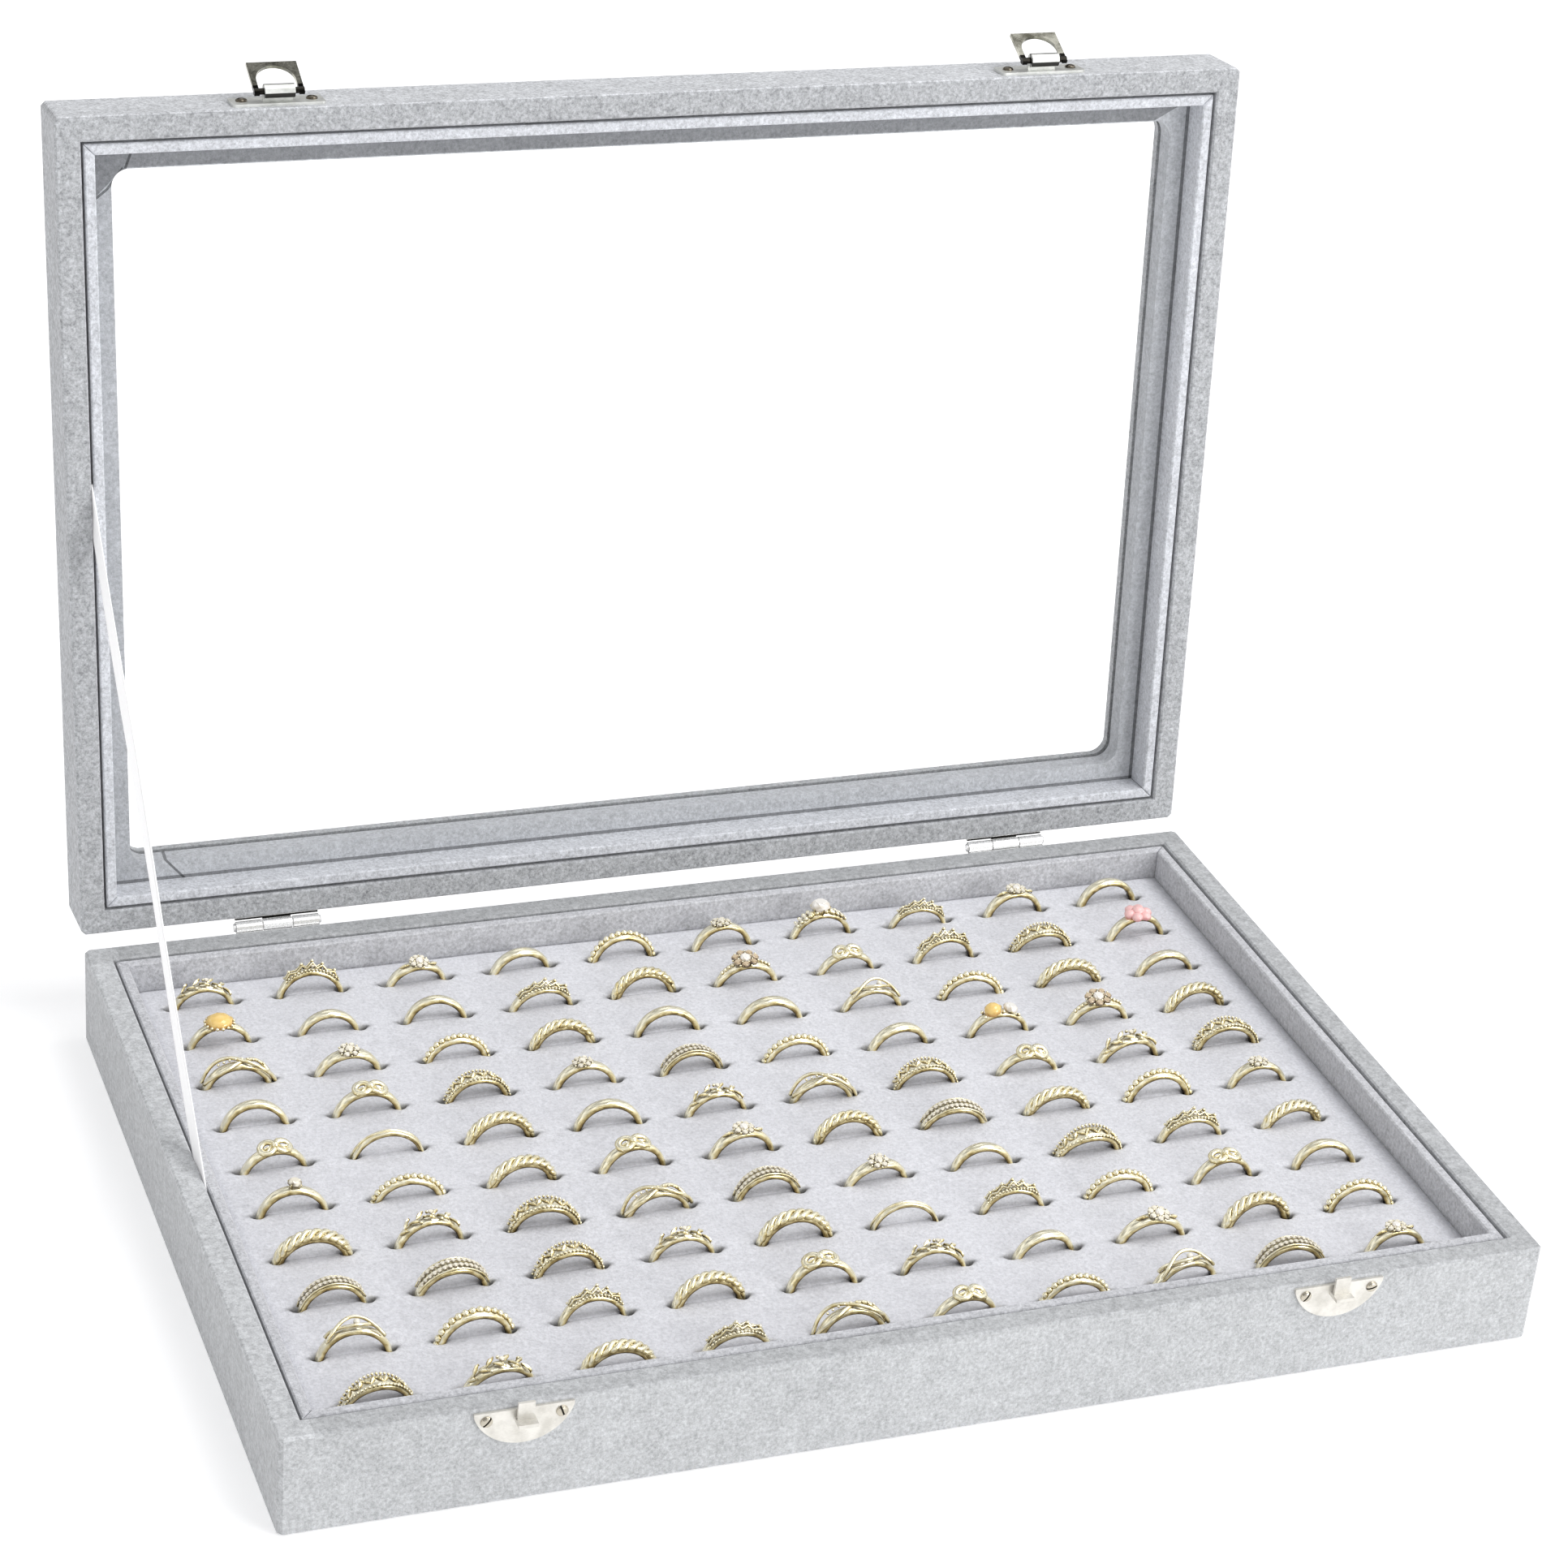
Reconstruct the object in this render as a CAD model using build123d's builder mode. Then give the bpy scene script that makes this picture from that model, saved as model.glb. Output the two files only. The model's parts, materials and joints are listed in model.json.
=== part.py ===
from build123d import *
import math
import os

os.makedirs("parts", exist_ok=True)

# A shallow velvet case that shows one hundred rings under a hinged glass lid.
# Millimetres. The origin is the middle of the underside, +X runs to the right,
# +Y to the back and +Z up. The lid stands open and its ribbon stay is straight.

# Case
case_width = 350.0
case_depth = 240.0
base_height = 30.0
lid_height = 20.0
rim_gap = 0.4
wall_thickness = 7.0
corner_edge = 1.2
foot_edge = 0.6
rim_edge = 0.5
top_edge = 0.9
board_thickness = 4.0
board_gap = 0.1

# Velvet liner boards, a groove's width inside the walls
groove_width = 0.8
liner_thickness = 3.0
liner_drop = 0.5
mitre_gap = 0.1
liner_edge = 0.4

# Foam pad and the slits that hold the rings
pad_height = 17.0
pad_gap = 0.3
pad_edge = 0.6
slit_length = 24.0
slit_gap = 0.2

# Lid window
top_skin = 2.5
glass_thickness = 2.0
glass_gap = 0.2
mat_thickness = 6.0
side_border = 16.7
end_border = 17.1
window_round = 5.0

# Rings
ring_radius = 10.3
bore_radius = 8.9
ring_sides = 10
bore_sides = 6
ring_width = 2.4
ring_sink = 2.2
ring_foot_gap = 0.3
row_count = 10
column_count = 10
back_margin = 12.2
front_margin = 10.0
left_margin = 19.1
right_margin = 22.1
saddle_length = 7.6
saddle_width = 4.4
saddle_height = 1.3
saddle_taper = 20.0
collet_radius = 2.5
collet_sides = 6
collet_height = 2.4
collet_flare = 8.0
cluster_width = 9.0
cluster_depth = 5.4
cluster_height = 2.2
cluster_taper = 28.0
head_seat = 0.5
ridge_thickness = 1.6
ridge_width = 3.4
ridge_height = 3.0
ridge_length = 7.0
ridge_top = 2.3

# Sides of the small round forms, which keeps a hundred rings and their fittings light
round_sides = 12
screw_sides = 6

# Hinges
hinge_inset = 58.0
hinge_length = 25.0
hinge_overhang = 2.7
knuckle_radius = 1.7
knuckle_gap = 0.4
middle_knuckle = 8.6
leaf_thickness = 0.8
leaf_height = 9.0
pin_radius = 0.8
pin_clearance = 0.05
pin_head_radius = 1.3
pin_head_height = 0.6
pin_head_taper = 20.0
hinge_screw_spacing = 14.0
lid_angle = 95.35

# Screws
screw_radius = 0.9
screw_length = 5.0
screw_point = 1.0
screw_point_taper = 30.0
screw_head_radius = 1.6
screw_head_height = 0.9
screw_head_taper = 35.0
screw_clearance = 0.05

# Hasps, their brackets on the lid and their catches on the base
hasp_inset = 62.0
bracket_width = 26.0
bracket_height = 8.0
bracket_low_edge = 2.4
bracket_round = 1.0
fitting_screw_spacing = 19.6
eye_radius = 2.0
eye_width = 8.4
eye_reach = 3.1
eye_height = 3.6
hasp_bar_radius = 0.9
hasp_width = 14.0
hasp_reach = 10.8
hasp_heel = 1.2
hasp_thickness = 1.0
hasp_arm = 1.5
hasp_angle = 150.0
catch_width = 26.0
catch_height = 10.5
catch_drop = 1.0
catch_end = 1.0
catch_screw_drop = 2.5
nose_drop = 4.2
nose_thickness = 1.0
nose_reach = 4.1
nose_width = 5.2
tab_width = 4.4
tab_height = 6.0
tab_stand = 0.9

# Ribbon stay on the left, flat in the grooves of the base and of the lid
ribbon_width = 10.0
ribbon_thickness = 0.5
ribbon_base_y = 0.5
ribbon_lid_y = -8.0
ribbon_tuck = 7.5

# Levels and half sizes that follow from the sizes above
inner_width = case_width - 2 * wall_thickness
inner_depth = case_depth - 2 * wall_thickness
liner_width = inner_width - 2 * groove_width
liner_depth = inner_depth - 2 * groove_width
well_width = liner_width - 2 * liner_thickness
well_depth = liner_depth - 2 * liner_thickness
window_width = case_width - 2 * side_border
window_depth = case_depth - 2 * end_border
column_pitch = (well_width - left_margin - right_margin) / (column_count - 1)
row_pitch = (well_depth - back_margin - front_margin) / (row_count - 1)
grid_middle = ((left_margin - right_margin) / 2, (front_margin - back_margin) / 2)
lid_rim = base_height + rim_gap
lid_top = lid_rim + lid_height
pad_top = board_thickness + pad_height
pane_bottom = lid_top - top_skin - glass_thickness
mat_bottom = pane_bottom - mat_thickness
ring_centre_height = pad_top - ring_sink
hinge_y = case_depth / 2 + hinge_overhang
hinge_z = base_height + rim_gap / 2

# The lid is drawn shut, in the same coordinates as the base, on planes that
# turn with it about the hinge pins. side_plane looks along +X, with its own
# x to the back and its own y up.
hinge_centre = Location((0, hinge_y, hinge_z))
lid_place = hinge_centre * Location((0, 0, 0), (-lid_angle, 0, 0)) * hinge_centre.inverse()
base_place = Location((0, 0, 0))
lid_up = Axis((0, hinge_y, hinge_z), Plane(lid_place).z_dir)
front_plane = Plane(origin=(0, -case_depth / 2, 0), x_dir=(1, 0, 0), z_dir=(0, -1, 0))
rear_plane = Plane(origin=(0, case_depth / 2, 0), x_dir=(-1, 0, 0), z_dir=(0, 1, 0))
lid_front_plane = Plane(lid_place * front_plane.location)
lid_rear_plane = Plane(lid_place * rear_plane.location)


def lid_plane(height):
    return Plane(lid_place * Location((0, 0, height)))


def side_plane(place, x):
    return Plane(place * Plane.YZ.offset(x).location)


# Screw places, as x and height on the front and rear planes
screw_bore_radius = screw_radius + screw_clearance
hinge_screw_drop = rim_gap / 2 + knuckle_radius + leaf_height / 2
bracket_middle = lid_rim + bracket_low_edge + bracket_height / 2
catch_top = base_height - catch_drop


def screw_points(centres, spacing, height):
    return [(x + side * spacing / 2, height) for x in centres for side in (-1, 1)]


hinge_centres = (hinge_inset - case_width / 2, case_width / 2 - hinge_inset)
hasp_centres = (hasp_inset - case_width / 2, case_width / 2 - hasp_inset)
base_hinge_screw_points = screw_points(hinge_centres, hinge_screw_spacing, hinge_z - hinge_screw_drop)
lid_hinge_screw_points = screw_points(hinge_centres, hinge_screw_spacing, hinge_z + hinge_screw_drop)
catch_screw_points = screw_points(hasp_centres, fitting_screw_spacing, catch_top - catch_screw_drop)
bracket_screw_points = screw_points(hasp_centres, fitting_screw_spacing, bracket_middle)
pilot_depth = screw_length - leaf_thickness + screw_clearance

# Base frame: four fibreboard walls glued into one and wrapped in velvet
with BuildPart() as base_frame:
    with BuildSketch():
        Rectangle(case_width, case_depth)
        chamfer(vertices(), corner_edge)
        Rectangle(inner_width, inner_depth, mode=Mode.SUBTRACT)
    extrude(amount=base_height)
    chamfer(base_frame.faces().sort_by(Axis.Z)[0].outer_wire().edges(), foot_edge)
    rim = base_frame.faces().sort_by(Axis.Z)[-1]
    chamfer(rim.edges(), rim_edge)
    with BuildSketch(rear_plane):
        with Locations(*base_hinge_screw_points):
            RegularPolygon(screw_bore_radius, screw_sides, major_radius=False)
    extrude(amount=-pilot_depth, mode=Mode.SUBTRACT)
    with BuildSketch(front_plane):
        with Locations(*catch_screw_points):
            RegularPolygon(screw_bore_radius, screw_sides, major_radius=False)
    extrude(amount=-pilot_depth, mode=Mode.SUBTRACT)
base_frame.part.label = "base_frame"
export_step(base_frame.part, "parts/base_frame.step")

# Bottom board, glued inside the frame
with BuildPart() as bottom_board:
    with BuildSketch():
        Rectangle(inner_width - 2 * board_gap, inner_depth - 2 * board_gap)
    extrude(amount=board_thickness)
bottom_board.part.label = "bottom_board"
export_step(bottom_board.part, "parts/bottom_board.step")


# Liner boards: four velvet boards mitred round the base well, and four in the lid
def liner_board(plane, length, height):
    half = length / 2 - mitre_gap
    with BuildPart() as board:
        with BuildSketch(plane):
            with BuildLine():
                Polyline(
                    (-half, 0),
                    (half, 0),
                    (half - liner_thickness, liner_thickness),
                    (liner_thickness - half, liner_thickness),
                    close=True,
                )
            make_face()
        extrude(amount=height)
        chamfer(board.faces().sort_by(Axis((0, 0, 0), plane.z_dir))[-1].edges(), liner_edge)
    return board.part


liner_sides = {
    "front": ((0, -liner_depth / 2), 0, liner_width),
    "right": ((liner_width / 2, 0), 90, liner_depth),
    "back": ((0, liner_depth / 2), 180, liner_width),
    "left": ((-liner_width / 2, 0), 270, liner_depth),
}
base_liner_height = base_height - liner_drop - board_thickness
lid_liner_height = mat_bottom - lid_rim - liner_drop

for side, ((x, y), turn, length) in liner_sides.items():
    stand = Plane(Location((x, y, board_thickness), (0, 0, turn)))
    base_liner = liner_board(stand, length, base_liner_height)
    base_liner.label = f"base_liner_{side}"
    export_step(base_liner, f"parts/base_liner_{side}.step")

for side, ((x, y), turn, length) in liner_sides.items():
    upside_down = Location((x, y, mat_bottom), (0, 0, turn)) * Location((0, 0, 0), (0, 180, 0))
    lid_liner = liner_board(Plane(lid_place * upside_down), length, lid_liner_height)
    lid_liner.label = f"lid_liner_{side}"
    export_step(lid_liner, f"parts/lid_liner_{side}.step")

# Ring pad: foam under velvet, with a slit for every ring
slit_width = ring_width + 2 * slit_gap
slit_depth = ring_sink + ring_radius + ring_foot_gap
with BuildPart() as ring_pad:
    with BuildSketch(Plane.XY.offset(board_thickness)):
        Rectangle(well_width - 2 * pad_gap, well_depth - 2 * pad_gap)
    extrude(amount=pad_height)
    chamfer(ring_pad.faces().sort_by(Axis.Z)[-1].edges(), pad_edge)
    with BuildSketch(Plane.XY.offset(pad_top)):
        with Locations(grid_middle):
            with GridLocations(column_pitch, row_pitch, column_count, row_count):
                Rectangle(slit_length, slit_width)
    extrude(amount=-slit_depth, mode=Mode.SUBTRACT)
ring_pad.part.label = "ring_pad"
export_step(ring_pad.part, "parts/ring_pad.step")


# Rings: one band, and four tops that are built up on it
crown_height = ring_radius * math.cos(math.pi / ring_sides)
ring_turn = 90 - 180 / ring_sides
bore_turn = 90 - 180 / bore_sides


def ring_band():
    with BuildPart() as band:
        with BuildSketch(Plane.XZ):
            RegularPolygon(ring_radius, ring_sides, rotation=ring_turn)
            RegularPolygon(bore_radius, bore_sides, rotation=bore_turn, mode=Mode.SUBTRACT)
        extrude(amount=ring_width / 2, both=True)
    return band.part


with BuildPart() as plain_ring:
    add(ring_band())

with BuildPart() as saddle_ring:
    add(ring_band())
    with BuildSketch(Plane.XY.offset(crown_height - head_seat)):
        Rectangle(saddle_length, saddle_width)
    extrude(amount=saddle_height, taper=saddle_taper)

with BuildPart() as stone_ring:
    add(ring_band())
    with BuildSketch(Plane.XY.offset(crown_height - head_seat)):
        RegularPolygon(collet_radius, collet_sides)
    extrude(amount=collet_height, taper=-collet_flare)

with BuildPart() as cluster_ring:
    add(ring_band())
    with BuildSketch(Plane.XY.offset(crown_height - head_seat)):
        Rectangle(cluster_width, cluster_depth)
    extrude(amount=cluster_height, taper=cluster_taper)

with BuildPart() as ridge_ring:
    add(ring_band())
    with BuildSketch(Plane.XZ):
        with BuildLine():
            Polyline(
                (-ridge_length, crown_height - ridge_height),
                (-ridge_top, crown_height + ridge_thickness),
                (ridge_top, crown_height + ridge_thickness),
                (ridge_length, crown_height - ridge_height),
                close=True,
            )
        make_face()
        RegularPolygon(bore_radius, bore_sides, rotation=bore_turn, mode=Mode.SUBTRACT)
    extrude(amount=ridge_width / 2, both=True)

# One letter is one ring: p plain, z wire, w wide, d beaded, x braided, r double row, v crossed,
# s single stone, o large stone, c cluster, l leaf, k crown, b bow. The back row comes first.
ring_layout = (
    "lklpdcokcp",
    "oppkxcbkws",
    "vcdxppldxp",
    "pbwcrdpocx",
    "bzxplvwblw",
    "zsdbxlrxdc",
    "xlwvrcpwkx",
    "rrwlxzkdbp",
    "cdwxblpckd",
    "wlxkvbdcrx",
)
tops = {"p": plain_ring, "z": plain_ring, "s": stone_ring}
tops |= {letter: saddle_ring for letter in "wdxrv"}
tops |= {letter: cluster_ring for letter in "ocl"}
tops |= {letter: ridge_ring for letter in "kb"}

for row, letters in enumerate(ring_layout):
    row_y = grid_middle[1] + ((row_count - 1) / 2 - row) * row_pitch
    with BuildPart() as ring_row:
        for column, letter in enumerate(letters):
            column_x = grid_middle[0] + (column - (column_count - 1) / 2) * column_pitch
            with Locations((column_x, row_y, ring_centre_height)):
                add(tops[letter].part)
    ring_row.part.label = f"rings_row_{row + 1:02d}"
    export_step(ring_row.part, f"parts/rings_row_{row + 1:02d}.step")

# Lid frame: four walls and the velvet border round the window, in one piece
with BuildPart() as lid_frame:
    with BuildSketch(lid_plane(lid_rim)):
        Rectangle(case_width, case_depth)
        chamfer(vertices(), corner_edge)
        Rectangle(inner_width, inner_depth, mode=Mode.SUBTRACT)
    extrude(amount=lid_height)
    with BuildSketch(lid_plane(lid_top)):
        Rectangle(case_width - wall_thickness, case_depth - wall_thickness)
        RectangleRounded(window_width, window_depth, window_round, mode=Mode.SUBTRACT)
    extrude(amount=-top_skin)
    chamfer(lid_frame.faces().sort_by(lid_up)[-1].outer_wire().edges(), top_edge)
    chamfer(lid_frame.faces().sort_by(lid_up)[0].edges(), rim_edge)
    with BuildSketch(lid_rear_plane):
        with Locations(*lid_hinge_screw_points):
            RegularPolygon(screw_bore_radius, screw_sides, major_radius=False)
    extrude(amount=-pilot_depth, mode=Mode.SUBTRACT)
    with BuildSketch(lid_front_plane):
        with Locations(*bracket_screw_points):
            RegularPolygon(screw_bore_radius, screw_sides, major_radius=False)
    extrude(amount=-pilot_depth, mode=Mode.SUBTRACT)
lid_frame.part.label = "lid_frame"
export_step(lid_frame.part, "parts/lid_frame.step")

# Glass, clamped between the lid's border and the mat
with BuildPart() as window_pane:
    with BuildSketch(lid_plane(pane_bottom)):
        Rectangle(inner_width - 2 * glass_gap, inner_depth - 2 * glass_gap)
    extrude(amount=glass_thickness)
window_pane.part.label = "window_pane"
export_step(window_pane.part, "parts/window_pane.step")

# Mat: the velvet board that frames the window and carries the lid's liners
with BuildPart() as window_mat:
    with BuildSketch(lid_plane(mat_bottom)):
        Rectangle(inner_width - 2 * glass_gap, inner_depth - 2 * glass_gap)
        RectangleRounded(window_width, window_depth, window_round, mode=Mode.SUBTRACT)
    extrude(amount=mat_thickness)
window_mat.part.label = "window_mat"
export_step(window_mat.part, "parts/window_mat.step")


# Hinge leaf: a plate on the rear wall, bent out at its edge and rolled round the pin
def hinge_leaf(place, hinge_x, rise, knuckles, screw_plane, points):
    near_edge = hinge_z + rise * (knuckle_radius - leaf_thickness)
    far_edge = hinge_z + rise * (knuckle_radius - leaf_thickness + leaf_height)
    rear = case_depth / 2
    with BuildPart() as leaf:
        with BuildSketch(side_plane(place, hinge_x - hinge_length / 2)):
            with BuildLine():
                Polyline(
                    (rear, near_edge),
                    (rear, far_edge),
                    (rear + leaf_thickness, far_edge),
                    (rear + leaf_thickness, near_edge),
                    close=True,
                )
            make_face()
        extrude(amount=hinge_length)
        for start, length in knuckles:
            with BuildSketch(side_plane(place, hinge_x + start)):
                with BuildLine():
                    Polyline(
                        (rear, near_edge),
                        (hinge_y, near_edge),
                        (hinge_y, near_edge + rise * leaf_thickness),
                        (rear, near_edge + rise * leaf_thickness),
                        close=True,
                    )
                make_face()
                with Locations((hinge_y, hinge_z)):
                    RegularPolygon(knuckle_radius, round_sides)
                    RegularPolygon(
                        pin_radius + pin_clearance, round_sides, major_radius=False, mode=Mode.SUBTRACT
                    )
            extrude(amount=length)
        with BuildSketch(screw_plane):
            with Locations(*points):
                RegularPolygon(screw_bore_radius, screw_sides, major_radius=False)
        extrude(amount=leaf_thickness, mode=Mode.SUBTRACT)
    return leaf.part


end_knuckle = (hinge_length - middle_knuckle) / 2 - knuckle_gap
end_knuckles = ((-hinge_length / 2, end_knuckle), (hinge_length / 2 - end_knuckle, end_knuckle))
middle_knuckles = ((-middle_knuckle / 2, middle_knuckle),)

for name, hinge_x in zip(("left", "right"), hinge_centres):
    base_leaf = hinge_leaf(
        base_place, hinge_x, -1, end_knuckles, rear_plane, base_hinge_screw_points
    )
    base_leaf.label = f"hinge_base_leaf_{name}"
    export_step(base_leaf, f"parts/hinge_base_leaf_{name}.step")

    lid_leaf = hinge_leaf(
        lid_place, hinge_x, 1, middle_knuckles, lid_rear_plane, lid_hinge_screw_points
    )
    lid_leaf.label = f"hinge_lid_leaf_{name}"
    export_step(lid_leaf, f"parts/hinge_lid_leaf_{name}.step")

    # Hinge pin, with a flat-sided head at each end
    with BuildPart() as hinge_pin:
        with BuildSketch(side_plane(base_place, hinge_x - hinge_length / 2 - pin_clearance)):
            with Locations((hinge_y, hinge_z)):
                RegularPolygon(pin_radius, round_sides)
        extrude(amount=hinge_length + 2 * pin_clearance)
        for side in (-1, 1):
            with BuildSketch(side_plane(base_place, hinge_x + side * (hinge_length / 2 + pin_clearance))):
                with Locations((hinge_y, hinge_z)):
                    RegularPolygon(pin_head_radius, round_sides)
            extrude(amount=side * pin_head_height, taper=pin_head_taper)
    hinge_pin.part.label = f"hinge_pin_{name}"
    export_step(hinge_pin.part, f"parts/hinge_pin_{name}.step")


# Screw, drawn point down with the head's underside at zero. It has flat sides, so
# that the sixteen of them stay light.
with BuildPart() as screw:
    with BuildSketch():
        RegularPolygon(screw_radius, screw_sides)
    extrude(amount=-(screw_length - screw_point))
    extrude(screw.faces().sort_by(Axis.Z)[0], amount=screw_point, taper=screw_point_taper)
    with BuildSketch():
        RegularPolygon(screw_head_radius, screw_sides)
    extrude(amount=screw_head_height, taper=screw_head_taper)

screw_groups = {
    "base_hinge_screws": (rear_plane, base_hinge_screw_points),
    "lid_hinge_screws": (lid_rear_plane, lid_hinge_screw_points),
    "catch_screws": (front_plane, catch_screw_points),
    "hasp_bracket_screws": (lid_front_plane, bracket_screw_points),
}
for name, (plane, points) in screw_groups.items():
    with BuildPart(plane.offset(leaf_thickness)) as screws:
        with Locations(*points):
            add(screw.part)
    screws.part.label = name
    export_step(screws.part, f"parts/{name}.step")

# Hasp brackets on the lid, hasps that turn in their eyes, and catches on the base
eye_y = -case_depth / 2 - leaf_thickness - eye_reach
eye_z = lid_rim + eye_height
arch_radius = hasp_width / 2 - hasp_arm
arch_centre = hasp_reach - hasp_arm - arch_radius

for name, hasp_x in zip(("left", "right"), hasp_centres):
    with BuildPart() as hasp_bracket:
        with BuildSketch(lid_front_plane):
            with Locations((hasp_x, bracket_middle)):
                RectangleRounded(bracket_width, bracket_height, bracket_round)
            with Locations(*bracket_screw_points):
                RegularPolygon(screw_bore_radius, screw_sides, major_radius=False, mode=Mode.SUBTRACT)
        extrude(amount=leaf_thickness)
        with BuildSketch(side_plane(lid_place, hasp_x - eye_width / 2)):
            with BuildLine():
                Polyline(
                    (-case_depth / 2, eye_z + eye_radius),
                    (eye_y, eye_z + eye_radius),
                    (eye_y, eye_z + eye_radius - leaf_thickness),
                    (-case_depth / 2, eye_z + eye_radius - leaf_thickness),
                    close=True,
                )
            make_face()
            with Locations((eye_y, eye_z)):
                RegularPolygon(eye_radius, round_sides)
                RegularPolygon(
                    hasp_bar_radius + pin_clearance, round_sides, major_radius=False, mode=Mode.SUBTRACT
                )
        extrude(amount=eye_width)
    hasp_bracket.part.label = f"hasp_bracket_{name}"
    export_step(hasp_bracket.part, f"parts/hasp_bracket_{name}.step")

    # Hasp: an arched plate whose two arms carry the bar, thrown back over the lid
    hasp_place = lid_place * Location((hasp_x, eye_y, eye_z)) * Location((0, 0, 0), (-hasp_angle, 0, 0))
    with BuildPart() as hasp_plate:
        with BuildSketch(Plane(hasp_place * Plane.XZ.location)):
            with Locations((0, (hasp_heel - hasp_reach) / 2)):
                Rectangle(hasp_width, hasp_reach + hasp_heel)
            with Locations((0, -arch_centre)):
                Circle(arch_radius, mode=Mode.SUBTRACT)
            with Locations((0, (hasp_heel - arch_centre) / 2)):
                Rectangle(2 * arch_radius, arch_centre + hasp_heel, mode=Mode.SUBTRACT)
        extrude(amount=hasp_thickness / 2, both=True)
        with BuildSketch(Plane(hasp_place * Plane.YZ.location)):
            RegularPolygon(hasp_bar_radius, round_sides)
        extrude(amount=hasp_width / 2, both=True)
    hasp_plate.part.label = f"hasp_plate_{name}"
    export_step(hasp_plate.part, f"parts/hasp_plate_{name}.step")

    with BuildPart() as catch:
        with BuildSketch(Plane(front_plane.location * Location((hasp_x, catch_top, 0)))):
            with BuildLine():
                Polyline(
                    (catch_width / 2, -catch_end),
                    (catch_width / 2, 0),
                    (-catch_width / 2, 0),
                    (-catch_width / 2, -catch_end),
                )
                ThreePointArc(
                    (-catch_width / 2, -catch_end),
                    (0, -catch_height),
                    (catch_width / 2, -catch_end),
                )
            make_face()
        extrude(amount=leaf_thickness)
        with BuildSketch(front_plane):
            with Locations(*catch_screw_points):
                RegularPolygon(screw_bore_radius, screw_sides, major_radius=False)
        extrude(amount=leaf_thickness, mode=Mode.SUBTRACT)
        with BuildSketch(front_plane):
            with Locations((hasp_x, base_height - nose_drop + nose_thickness / 2)):
                Rectangle(nose_width, nose_thickness)
        extrude(amount=leaf_thickness + nose_reach)
        with BuildSketch(front_plane.offset(leaf_thickness + tab_stand)):
            with Locations((hasp_x, base_height - nose_drop + tab_height / 2)):
                Rectangle(tab_width, tab_height)
        extrude(amount=leaf_thickness)
    catch.part.label = f"catch_{name}"
    export_step(catch.part, f"parts/catch_{name}.step")

# Ribbon stay: a straight band from groove to groove that stops the lid
ribbon_x = -(inner_width - groove_width) / 2
ribbon_foot = Vector(ribbon_x, ribbon_base_y, base_height)
ribbon_head = (lid_place * Location((ribbon_x, ribbon_lid_y, lid_rim))).position
ribbon_run = (ribbon_head - ribbon_foot).normalized()
ribbon_length = (ribbon_head - ribbon_foot).length + 2 * ribbon_tuck
ribbon_middle = (ribbon_head + ribbon_foot) * 0.5
with BuildPart() as stay_ribbon:
    with BuildSketch(Plane(origin=ribbon_middle, x_dir=ribbon_run, z_dir=(1, 0, 0))):
        Rectangle(ribbon_length, ribbon_width)
    extrude(amount=ribbon_thickness / 2, both=True)
stay_ribbon.part.label = "stay_ribbon"
export_step(stay_ribbon.part, "parts/stay_ribbon.step")
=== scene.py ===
import json
import math

import bmesh
import bpy
from mathutils import Euler, Matrix, Vector
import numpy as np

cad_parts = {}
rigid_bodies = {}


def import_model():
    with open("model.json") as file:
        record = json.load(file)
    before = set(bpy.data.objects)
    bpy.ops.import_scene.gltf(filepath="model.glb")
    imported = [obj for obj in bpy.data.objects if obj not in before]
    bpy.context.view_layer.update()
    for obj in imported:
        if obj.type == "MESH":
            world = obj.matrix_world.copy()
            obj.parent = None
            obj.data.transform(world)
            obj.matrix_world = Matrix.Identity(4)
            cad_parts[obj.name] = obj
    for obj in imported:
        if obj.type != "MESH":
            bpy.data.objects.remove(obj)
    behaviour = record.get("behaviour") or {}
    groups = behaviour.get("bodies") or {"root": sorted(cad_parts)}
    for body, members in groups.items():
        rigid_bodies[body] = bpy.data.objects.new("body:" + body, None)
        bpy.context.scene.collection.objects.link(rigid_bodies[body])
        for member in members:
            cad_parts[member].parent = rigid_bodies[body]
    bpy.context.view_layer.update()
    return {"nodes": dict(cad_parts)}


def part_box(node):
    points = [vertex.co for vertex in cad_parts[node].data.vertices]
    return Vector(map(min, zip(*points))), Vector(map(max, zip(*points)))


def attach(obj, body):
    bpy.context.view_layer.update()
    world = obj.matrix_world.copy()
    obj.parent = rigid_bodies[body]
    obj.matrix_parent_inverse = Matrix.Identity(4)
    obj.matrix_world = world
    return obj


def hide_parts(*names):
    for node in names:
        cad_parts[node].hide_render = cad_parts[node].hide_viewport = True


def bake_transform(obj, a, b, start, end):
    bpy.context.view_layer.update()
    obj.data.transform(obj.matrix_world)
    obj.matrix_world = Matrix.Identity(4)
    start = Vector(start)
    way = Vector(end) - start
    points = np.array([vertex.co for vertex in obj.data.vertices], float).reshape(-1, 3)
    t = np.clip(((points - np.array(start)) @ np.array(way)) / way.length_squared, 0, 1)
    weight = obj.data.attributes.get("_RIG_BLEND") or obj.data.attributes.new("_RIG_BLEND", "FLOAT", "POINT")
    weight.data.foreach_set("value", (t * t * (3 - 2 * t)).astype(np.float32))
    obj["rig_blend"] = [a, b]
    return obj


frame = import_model()
nodes = frame["nodes"]

# The camera stands to the left of the case's front, a little above it, and looks
# down through a long lens, as in the photograph. The frame's centre lies above
# the lens's own axis, which is the small shift.
photo_side = 1932
focal_pixels = 4910
lens_axis_pixel = (941, 1163)
camera_place = (-0.3644, -0.8754, 0.6267)
camera_turn = (59.84, -4.18, -19.55)

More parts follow.
